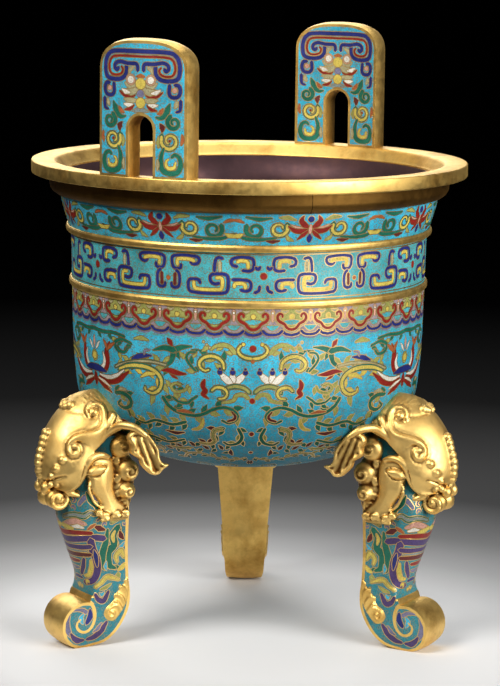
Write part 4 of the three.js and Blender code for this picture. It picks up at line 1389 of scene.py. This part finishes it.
mask = {
    "turns": {"mask_front": -90.0, "mask_right": 30.0, "mask_left": 150.0},
    "keel": [(116, 206), (138, 205), (151, 203.4), (157.4, 200.6), (167.8, 191.8), (174.8, 183.8),
        (181, 174), (184.8, 163.5), (186.8, 155.7), (187.8, 148), (187.2, 140), (184.8, 133.6),
        (180.6, 131)],
    "under": [(177, 129.6), (172.4, 128.8), (167.4, 131.8), (164.4, 137.4), (163.4, 145), (162, 151.8),
        (159.2, 156.6), (153.2, 161.2), (146.2, 167.2), (142, 171), (134, 174.6), (126, 177.4), (116, 179)],
    "reach": (29.0, 26.0, 1.7),  # half width, how far from the keel it is full, and roundness
    "beads": [(184.3, 173.9), (186.1, 169.3), (187.2, 164.7), (188.9, 159.7), (190.1, 154.6),
        (190.4, 149.8), (190, 145), (189, 140.5), (187.2, 136)],
    "slant": (0.503, 0.221),  # how the photo's view moves for each mm nearer the middle
    # on the cheek, as seen at 27 mm out
    "swirl": [(158.1, 190.6), (159.5, 194.3), (157, 197.1), (152.7, 197.8), (148.1, 196.5), (145.4, 192.8),
        (144.6, 187.6), (145.6, 181.7), (148.8, 178), (154, 176), (160.6, 175), (167.1, 174.1),
        (172.4, 171.9), (175.4, 167.9), (175.3, 163.1), (172.3, 159.6), (168.4, 159.8), (166.6, 162.8),
        (168.1, 166), (171.2, 166.2)],
    "eye": (153.2, 191.6),
    "browLine": [(161.9, 192.2), (168.9, 193.3), (174.9, 195.1), (184, 199)],
    "whiskers": [(181, 156.6, 3.1), (186.4, 149.8, 3.1), (190.8, 143.5, 2.6)],
    "mouth": [(177.9, 142.8), (184, 142.3), (190, 141), (195.2, 140), (202, 139.7)],
    "pits": [(165.8, 158.5), (167.1, 155.9), (169.3, 154), (171.2, 152), (168.1, 152), (170.1, 156.5),
        (172.9, 154.6)],
    "strap": [(140, 27.4, 155), (147, 28.6, 157.6), (153.2, 28.6, 157.1), (157.6, 28, 154),
        (160, 25.8, 148.5), (160.7, 23, 141.7), (162.3, 20, 135.9), (166.2, 17, 131.4), (171.7, 14, 127.6)],
    "jaw": [(135.6, 152), (139, 156.4), (147, 159.2), (153.5, 158.4), (158.2, 154.6), (160.6, 149),
        (159.4, 144), (156, 138.7), (155.4, 131.5), (151.6, 124.6), (147.4, 118.4), (147, 113),
        (149, 109.6), (147, 105.2), (141.7, 103.2), (132, 102.6), (122.4, 103.2), (120.6, 108),
        (121.6, 112), (125.5, 115.6), (131.6, 121), (135, 129.2), (134.4, 137.2), (134.4, 145.2)],
    "tooth": [(144.4, 147.6), (149.6, 146), (154, 144.8), (158.6, 142.8)],
    "strands": [[(156, 25, 136.4), (156.8, 25.4, 131), (154.6, 25.4, 125), (151.2, 26, 118.6),
        (145.6, 27, 114.7)]],
    "chin": [(133.6, 108.6, 4.4, 3.4), (143.4, 107.3, 4.4, 4.4), (148.6, 111.1, 3.0, 3.0),
        (125.4, 108.4, 3.4, 3.4)],
    "mane": [(121, 168), (130, 172), (137, 163), (137, 152), (135.6, 140), (136, 128), (131, 118),
        (123, 109), (119, 114), (116.4, 126), (115, 138), (117, 150), (121.6, 158)],
    "curls": [(126, 115.6, 4.6, 40, 1.4), (133.4, 151, 3.0, 0, 1.2), (132.8, 136.6, 2.8, 90, 1.1),
        (131.4, 124, 2.6, 20, 1.1)],
    "bulbs": [(128.6, 162.4, 9.4, 0.6), (122.4, 142.4, 9.2, 2.2), (123.8, 126.6, 7.4, 3.6)],
    "ear": [(117.6, 176.6), (123.5, 178.4), (129.4, 177.6), (132.6, 172.3), (130, 166.6), (130.4, 161.1),
        (127.5, 158.2), (123.8, 155.6), (122.4, 151.1), (118.8, 146.6), (114.4, 142.9), (109.2, 142.9),
        (106.2, 146.7), (101.3, 150.8), (106.1, 152.3), (108.5, 156), (109.3, 162.4), (112.5, 168.9)],
    "earRibs": [[(119.5, 172), (114, 160), (109.5, 148.6)], [(124, 173), (119.6, 160), (115.4, 147.6)],
        [(128.2, 172), (126.4, 165), (124.6, 159)]],
    "earBar": [(150, 25, 168.6), (146.7, 27, 171.1), (143, 28.5, 174.9), (139.5, 32, 178.7),
        (136.3, 38, 181.9), (132.4, 44, 182.3), (128.1, 49, 181), (123.2, 53, 176.8), (120.6, 54, 174.6)],
    "flame": [(134.2, 189), (138.2, 191), (141.6, 186.5), (145.2, 181.4), (146, 177.8), (141, 179.8),
        (136.5, 183.6)],
    "beadIn": 2.4,
    "beadSize": (3.5, 4.2, 3.5),
    "seenAt": 27,  # mm from the middle, where the cheek's lines were measured
    "horn": [(162.6, 4.6, 194.4, (4.2, 4.6, 4.2), 3), (166.4, 3, 193.6, 2.6, 2)],
    "nose": (176.6, 5.8, 122, (8.4, 7.0, 8.4), 3),
    "noseCoil": (176.2, 121.6, 8.6, 0.78),  # middle, reach at the start and what it loses for each radian
    "noseEye": (176.4, 12.4, 122.4, 2.2, 2),
    "noseTail": [(169, 15, 126.9), (163.3, 17.5, 125.1), (157.6, 18.5, 122.8)],
    "teeth": [(174.6, 15.4, 136.6, 2.4), (178.6, 13, 134, 2.4), (182.6, 10, 133.8, 2.4),
        (184.8, 5.4, 130.6, 4.2)],
    "maneAt": 22,
    "bulbAt": (25.5, 6.2),  # mm from the middle, and how far the bulbs rise
    "flameAt": 30,
    "jawAt": 24.4,
    "voxel": 0.75,
    "soften": (0.5, 2),
    "thin": 0.42,
}


def sideRun(points, line):
    # the distance from a line, positive on the left of its run, and the share of the way along
    a = line[:-1][None]
    step = (line[1:] - line[:-1])[None]
    off = points[:, None] - a
    t = np.clip((off * step).sum(2) / np.maximum((step ** 2).sum(2), 1e-9), 0, 1)
    away = np.linalg.norm(off - t[..., None] * step, axis=2)
    k = away.argmin(1)
    row = np.arange(len(points))
    cross = step[0, k, 0] * off[row, k, 1] - step[0, k, 1] * off[row, k, 0]
    return away[row, k] * np.sign(cross), (k + t[row, k]) / (len(line) - 1)


def cheekRelief(a, b):
    # mm of rise on the side of the head: the swirl from the eye to the nostril, whiskers, mouth and pits
    points = np.stack([a, b], 1)
    off, share = sideRun(points, smoothLine(mask["swirl"], 1.0))
    crest = np.interp(share, [0, 0.06, 0.3, 0.45, 0.8, 1], [2.4, 2.6, 2.8, 3.2, 2.6, 1.6])
    gentle = np.interp(share, [0, 0.3, 0.45, 0.66, 0.76, 1], [2.0, 2.6, 7.0, 6.5, 2.4, 1.6])
    rise = crest * np.where(off > 0, np.exp(-(off / 1.7) ** 2), np.exp(-(off / gentle) ** 2))
    rise -= 0.9 * np.exp(-((off - 3.3) / 1.0) ** 2)
    rise -= np.interp(share, [0.26, 0.32], [0.7, 0]) * np.exp(-((off + 3.4) / 0.8) ** 2)
    eye = np.hypot(a - mask["eye"][0], b - mask["eye"][1])
    rise -= 2.0 * np.exp(-(eye / 4.8) ** 4)
    for x, z, r in mask["whiskers"]:
        rise += 0.8 * np.sqrt(np.maximum(r ** 2 - (a - x) ** 2 - (b - z) ** 2, 0))
    mouth = nearestRun(points, smoothLine(mask["mouth"], 1.0))
    rise -= 2.0 * np.exp(-(mouth / 1.2) ** 2)
    brow = nearestRun(points, smoothLine(mask["browLine"], 1.0))
    rise -= 0.8 * np.exp(-(brow / 0.9) ** 2)
    for x, z in mask["pits"]:
        rise -= 0.8 * np.exp(-((a - x) ** 2 + (b - z) ** 2) / 0.5)
    return rise


def headHeight(points, edge):
    # how far each place on the side of the head stands out from the middle, without its ornament
    half, full, power = mask["reach"]
    keel = nearestRun(points, smoothLine(mask["keel"], 0.8))
    share = np.minimum(keel / full, 1)
    return half * (1 - (1 - share) ** power) ** (1 / power)


def chaseHead(bm, side):
    # the ornament is raised square to the skin, so it keeps its depth where the head turns away
    skin = [v for v in bm.verts if abs(v.co.y) > 0.5]
    spots = np.array([v.co for v in skin])
    flat = spots[:, [0, 2]]
    out = np.abs(spots[:, 1])
    slopes = []
    for step in (np.array([0.4, 0]), np.array([0, 0.4])):
        slopes.append((headHeight(flat + step, None) - headHeight(flat - step, None)) / 0.8)
    square = unitRows(np.stack([-slopes[0], np.full(len(out), 1.0), -slopes[1]], 1))
    nearer = mask["seenAt"] - out
    rise = cheekRelief(flat[:, 0] + mask["slant"][0] * nearer, flat[:, 1] + mask["slant"][1] * nearer)
    x, z = flat.T
    hair = np.interp(z, [190, 196], [0, 1]) * np.interp(x, [156, 164], [1, 0])
    rise += hair * 0.45 * np.sin(x * 1.7 + 1.5 * np.sin(z * 0.9)) * np.sin(out * 0.9 + z)
    move = square * (rise * np.interp(out, [2, 8], [0, 1]))[:, None]
    for v, shift in zip(skin, move):
        v.co += Vector((shift[0], side * shift[1], shift[2]))


def jawRelief(points, edge):
    rise = 2.4 * np.minimum(edge / 2.5, 1) ** 0.6 + 2.4 * np.minimum(edge / 9, 1)
    off, share = sideRun(points, smoothLine(mask["tooth"], 1.0))
    wide = 0.4 + 3.6 * np.sin(np.pi * np.clip(share, 0.02, 0.98)) ** 0.7
    groove = 1.3 * np.exp(-((np.abs(off) - wide - 0.9) / 0.8) ** 2)
    rise += 2.8 * np.sqrt(np.maximum(1 - (off / wide) ** 2, 0)) - groove
    return rise


def maneRelief(points, edge):
    rise = 4.6 * np.minimum(edge / 5, 1) ** 0.6
    for x, z, r, start, turns in mask["curls"]:
        line = spiralLine((x, z), r, 0.6, start, turns)
        away = np.hypot(points[:, 0] - x, points[:, 1] - z)
        groove = 0.5 * np.exp(-((away - r - 1.4) / 0.8) ** 2)
        rise += 1.5 * np.exp(-(nearestRun(points, line) / 0.95) ** 2) - groove
    return rise


def earRelief(points, edge):
    rib = np.min([nearestRun(points, smoothLine(r, 1.0)) for r in mask["earRibs"]], axis=0)
    border = 2.4 * np.exp(-((edge - 1.4) / 1.3) ** 2)
    ridge = 1.5 * np.exp(-(rib / 1.5) ** 2)
    return border + ridge + 0.4 * np.minimum(edge, 2)


def flameRelief(points, edge):
    return 2.6 * np.minimum(edge / 2.4, 1) ** 0.7


def maskForms():
    bm = bmesh.new()
    for side in (1, -1):
        head = reliefShell(mask["keel"] + mask["under"], 1.0, headHeight, lambda x, z, out: (x, side * out,
            z), 0.0, (0.06, 0.25, 0.6))
        chaseHead(head, side)
        joinInto(bm, head)
    skin = BVHTree.FromBMesh(bm)
    for x, z in mask["beads"]:
        ballAt(bm, (x - mask["beadIn"], 0, z), mask["beadSize"])
    for side in (1, -1):
        addEye(bm, skin, side)
        addMuzzle(bm, side)
        addMane(bm, side)
        addJaw(bm, side)
    bmesh.ops.recalc_face_normals(bm, faces=bm.faces)
    return bm


def sidePlate(bm, side, name, spacing, height, out, depth, lean=0.0):
    # a plate of relief that stands the given mm out from the middle
    def place(x, z, rise):
        return (x, side * (out - x * lean + rise), z)

    joinInto(bm, reliefShell(mask[name], spacing, height, place, depth))


def sideTube(bm, side, path, radii):
    tubeAlong(bm, [(x, side * y, z) for x, y, z in path], radii)


def addEye(bm, skin, side):
    # the ball sits where the photo's line of sight meets the head
    slantX, slantZ = mask["slant"]
    ex, ez = mask["eye"]
    away = Vector((ex + 30 * slantX, side * 57, ez + 30 * slantZ))
    eye = skin.ray_cast(away, Vector((-slantX, -side, -slantZ)).normalized())[0]
    ballAt(bm, eye - Vector((0.4, side * 0.8, 0)), (3.9, 3.9, 3.9), 3)


def addMuzzle(bm, side):
    for x, y, z, radii, detail in mask["horn"] + [mask["nose"]]:
        ballAt(bm, (x, side * y, z), radii, detail)
    cx, cz, start, loss = mask["noseCoil"]
    coil = []
    for a in np.linspace(0, 8.2, 40):
        reach = start - loss * a
        coil.append((cx + reach * math.cos(2.3 + a), 10.4 + 0.22 * a, cz + reach * math.sin(2.3 + a)))
    sideTube(bm, side, coil, [2.4, 2.3, 2.0, 1.5])
    x, y, z, radius, detail = mask["noseEye"]
    ballAt(bm, (x, side * y, z), radius, detail)
    sideTube(bm, side, mask["noseTail"], [2.8, 2.0, 0.6])
    for x, y, z, r in mask["teeth"]:
        ballAt(bm, (x, side * y, z), (r, r, r * 1.2))


def addMane(bm, side):
    sidePlate(bm, side, "mane", 1.0, maneRelief, mask["maneAt"], 6)
    out, height = mask["bulbAt"]
    for x, z, r, start in mask["bulbs"]:
        ballAt(bm, (x, side * out, z), (r, height, r), 3)
        whorl = []
        for a in np.linspace(0, 7.6, 34):
            reach = 0.68 * r * (1 - 0.1 * a)
            rise = out + height * math.sqrt(1 - (reach / r) ** 2)
            whorl.append((x + reach * math.cos(a + start), rise, z + reach * math.sin(a + start)))
        sideTube(bm, side, whorl, [0.7, 1.1, 1.1, 0.8])


def addJaw(bm, side):
    for x, z, r, t in mask["chin"]:
        ballAt(bm, (x, side * 26, z), (r, 5.0, t))
        curl = []
        for a in np.linspace(0, 6, 24):
            share = 0.95 - 0.1 * a
            curl.append((x + r * share * math.cos(a - 0.8), 28.6 + 0.3 * a,
                z + t * share * math.sin(a - 0.8)))
        sideTube(bm, side, curl, [1.3, 1.5, 1.1])
    sideTube(bm, side, mask["strap"], [1.8, 2.6, 2.8, 2.8, 2.6, 2.4, 2.4, 2.6, 3.0])
    for strand in mask["strands"]:
        sideTube(bm, side, strand, [0.9, 1.3, 1.3, 1.2, 0.9])
    sideTube(bm, side, mask["earBar"], [1.5, 2.4, 2.8, 3.0, 3.3, 3.3, 3.1, 2.6, 2.0])
    sidePlate(bm, side, "flame", 0.9, flameRelief, mask["flameAt"], 6)
    sidePlate(bm, side, "jaw", 1.1, jawRelief, mask["jawAt"], 6)
    sidePlate(bm, side, "ear", 1.1, earRelief, 91, 2.4, 0.36)


def castMesh(bm):
    # the parts are fused, softened and thinned, as a casting is
    mesh = bpy.data.meshes.new("maskForms")
    bmesh.ops.triangulate(bm, faces=bm.faces)
    bm.to_mesh(mesh)
    bm.free()
    holder = bpy.data.objects.new("maskForms", mesh)
    bpy.context.scene.collection.objects.link(holder)
    fuse = holder.modifiers.new("fuse", "REMESH")
    fuse.mode = "VOXEL"
    fuse.voxel_size = mask["voxel"]
    soften = holder.modifiers.new("soften", "SMOOTH")
    soften.factor, soften.iterations = mask["soften"]
    thin = holder.modifiers.new("thin", "DECIMATE")
    thin.ratio = mask["thin"]
    graph = bpy.context.evaluated_depsgraph_get()
    cast = bpy.data.meshes.new_from_object(holder.evaluated_get(graph))
    bpy.data.objects.remove(holder)
    bpy.data.meshes.remove(mesh)
    return cast


def grooveAndShadeOf(mesh):
    # 1 in the hollows and 0 on the open faces, from how the surface folds; painted shade is added on the
    # mane and ears
    count = len(mesh.vertices)
    spots = np.zeros(count * 3)
    mesh.vertices.foreach_get("co", spots)
    spots = spots.reshape(-1, 3)
    normals = np.array([v.normal for v in mesh.vertices])
    ends = np.zeros(len(mesh.edges) * 2, np.int64)
    mesh.edges.foreach_get("vertices", ends)
    a, b = ends.reshape(-1, 2).T
    step = spots[b] - spots[a]
    length = np.maximum(np.linalg.norm(step, axis=1), 1e-9)
    fold = np.zeros(count)
    share = np.zeros(count)
    np.add.at(fold, a, (step * normals[a]).sum(1) / length)
    np.add.at(fold, b, -(step * normals[b]).sum(1) / length)
    np.add.at(share, a, 1)
    np.add.at(share, b, 1)
    fold /= np.maximum(share, 1)
    for turn in range(4):
        total = np.zeros(count)
        np.add.at(total, a, fold[b])
        np.add.at(total, b, fold[a])
        fold = 0.5 * fold + 0.5 * total / np.maximum(share, 1)
    x, y, z = spots.T
    # painted shade: the mane and the backs of the ears are darkened, as if in shadow
    mane = np.interp(x, [126, 140], [0.62, 0.1]) * np.interp(z, [158, 174], [1, 0])
    ear = 0.5 * np.interp(np.abs(y), [40, 46], [0, 1]) * np.interp(z, [168, 180], [1, 0])
    return np.clip((fold - 0.01) / 0.11 + np.maximum(mane, ear), 0,
        1)  # the mane and ears are painted darker brown as painted shade


def buildMasks():
    cast = castMesh(maskForms())
    layer = cast.attributes.new("grooveAndShade", "FLOAT", "POINT")
    layer.data.foreach_set("value", grooveAndShadeOf(cast))
    spots = np.array([v.co for v in cast.vertices])
    cast.vertices.foreach_set("co", drawnBack(spots).ravel())
    cast.materials.append(giltMask)
    cast.polygons.foreach_set("use_smooth", [True] * len(cast.polygons))
    for node, turn in mask["turns"].items():
        mesh = cast.copy()
        mesh.transform(toFrame @ Matrix.Rotation(math.radians(turn), 4, "Z"))
        keepPiece("mask" + node[5:].capitalize(), mesh, node)
    bpy.data.meshes.remove(cast)


buildMasks()


# Stage: a pale sheet that falls off into the dark, soft lamps, and the photo's viewpoint

def makeFloor():
    mesh = bpy.data.meshes.new("floor")
    bm = bmesh.new()
    bmesh.ops.create_grid(bm, x_segments=2, y_segments=2, size=40.0)
    bm.to_mesh(mesh)
    bm.free()
    floor = bpy.data.objects.new("floor", mesh)
    bpy.context.scene.collection.objects.link(floor)
    shade = Shading("floorSheet")
    plan = shade.node("Mapping", Scale=(0.5, 0.5, 0.5), Location=(0.02, 0.012, 0), Vector=shade.coords())
    reach = shade.node("VectorMath")
    reach.operation = "LENGTH"
    shade.join(plan.outputs["Vector"], reach.inputs[0])
    # painted light falloff: the floor's colour darkens with distance from a spot by the vessel, a painted
    # pool of light
    paintedFalloff = [(0.06, 0.66), (0.11, 0.56), (0.15, 0.34), (0.2, 0.17), (0.28, 0.05), (0.55, 0.008),
        (0.95, 0.0006)]
    shade.put("Base Color", shade.ramp(reach.outputs["Value"], paintedFalloff))
    shade.put("Roughness", 0.9)
    shade.put("Specular IOR Level", 0.0)
    mesh.materials.append(shade.material)


def addLamp(name, offset, size, power, tone):
    light = bpy.data.lights.new(name, "AREA")
    light.shape = "RECTANGLE"
    light.size, light.size_y = size
    light.energy = power
    light.color = tone
    lamp = bpy.data.objects.new(name, light)
    ahead, right, up = offset
    away = Vector((*camera["ahead"], 0)) * ahead + Vector((*camera["right"],
        0)) * right + Vector((0, 0, up))
    lamp.location = lampTarget + away
    lamp.rotation_euler = (-away).to_track_quat("-Z", "Y").to_euler()
    bpy.context.scene.collection.objects.link(lamp)


camera = {
    "focal": 148.15,
    "pitch": 9.168,
    "roll": 0.692,
    "yaw": 0.053,
    "place": (-1.9641, -1.1157, 0.5971),
    "right": (0.4970, -0.8678),
    "ahead": (0.8678, 0.4970),
}


def makeCamera():
    pitch, roll, yaw = (math.radians(camera[k]) for k in ("pitch", "roll", "yaw"))
    right = Vector((*camera["right"], 0))
    ahead = Vector((*camera["ahead"], 0))
    level = right * math.sin(yaw) + ahead * math.cos(yaw)
    look = level * math.cos(pitch) - Vector((0, 0, math.sin(pitch)))
    across = right * math.cos(yaw) - ahead * math.sin(yaw)
    up = across.cross(look)
    sideways = across * math.cos(roll) + up * math.sin(roll)
    upward = up * math.cos(roll) - across * math.sin(roll)
    data = bpy.data.cameras.new("photoCamera")
    data.lens = camera["focal"]
    data.sensor_width = 36.0
    data.sensor_fit = "AUTO"
    data.clip_end = 60
    view = bpy.data.objects.new("photoCamera", data)
    turn = Matrix((sideways, upward, -look)).transposed().to_4x4()
    view.matrix_world = Matrix.Translation(camera["place"]) @ turn
    bpy.context.scene.collection.objects.link(view)
    bpy.context.scene.camera = view


lamps = {  # metres ahead, to the right and up from the middle, then size, power and tone
    "keyLamp": ((-1.4, -1.3, 1.6), (1.1, 1.1), 60, (1.0, 0.98, 0.95)),
    "fillLamp": ((-1.55, 1.7, 0.6), (1.5, 1.3), 76, (1, 1, 1)),
    "topLamp": ((0.5, 0, 1.8), (1.6, 1.2), 22, (1, 1, 1)),
    "backLamp": ((1.8, -0.5, 1.0), (1.8, 0.8), 16, (1, 1, 1)),
}
lampTarget = Vector((0, 0.009, 0.24))

makeFloor()
for lampName, lampSpec in lamps.items():
    addLamp(lampName, *lampSpec)
world = bpy.data.worlds.new("studioDark")
world.use_nodes = True
background = world.node_tree.nodes["Background"]
background.inputs["Color"].default_value = (0.2, 0.2, 0.205, 1)
background.inputs["Strength"].default_value = 0.5
bpy.context.scene.world = world
bpy.context.scene.view_settings.view_transform = "Standard"
makeCamera()
print("stage set")
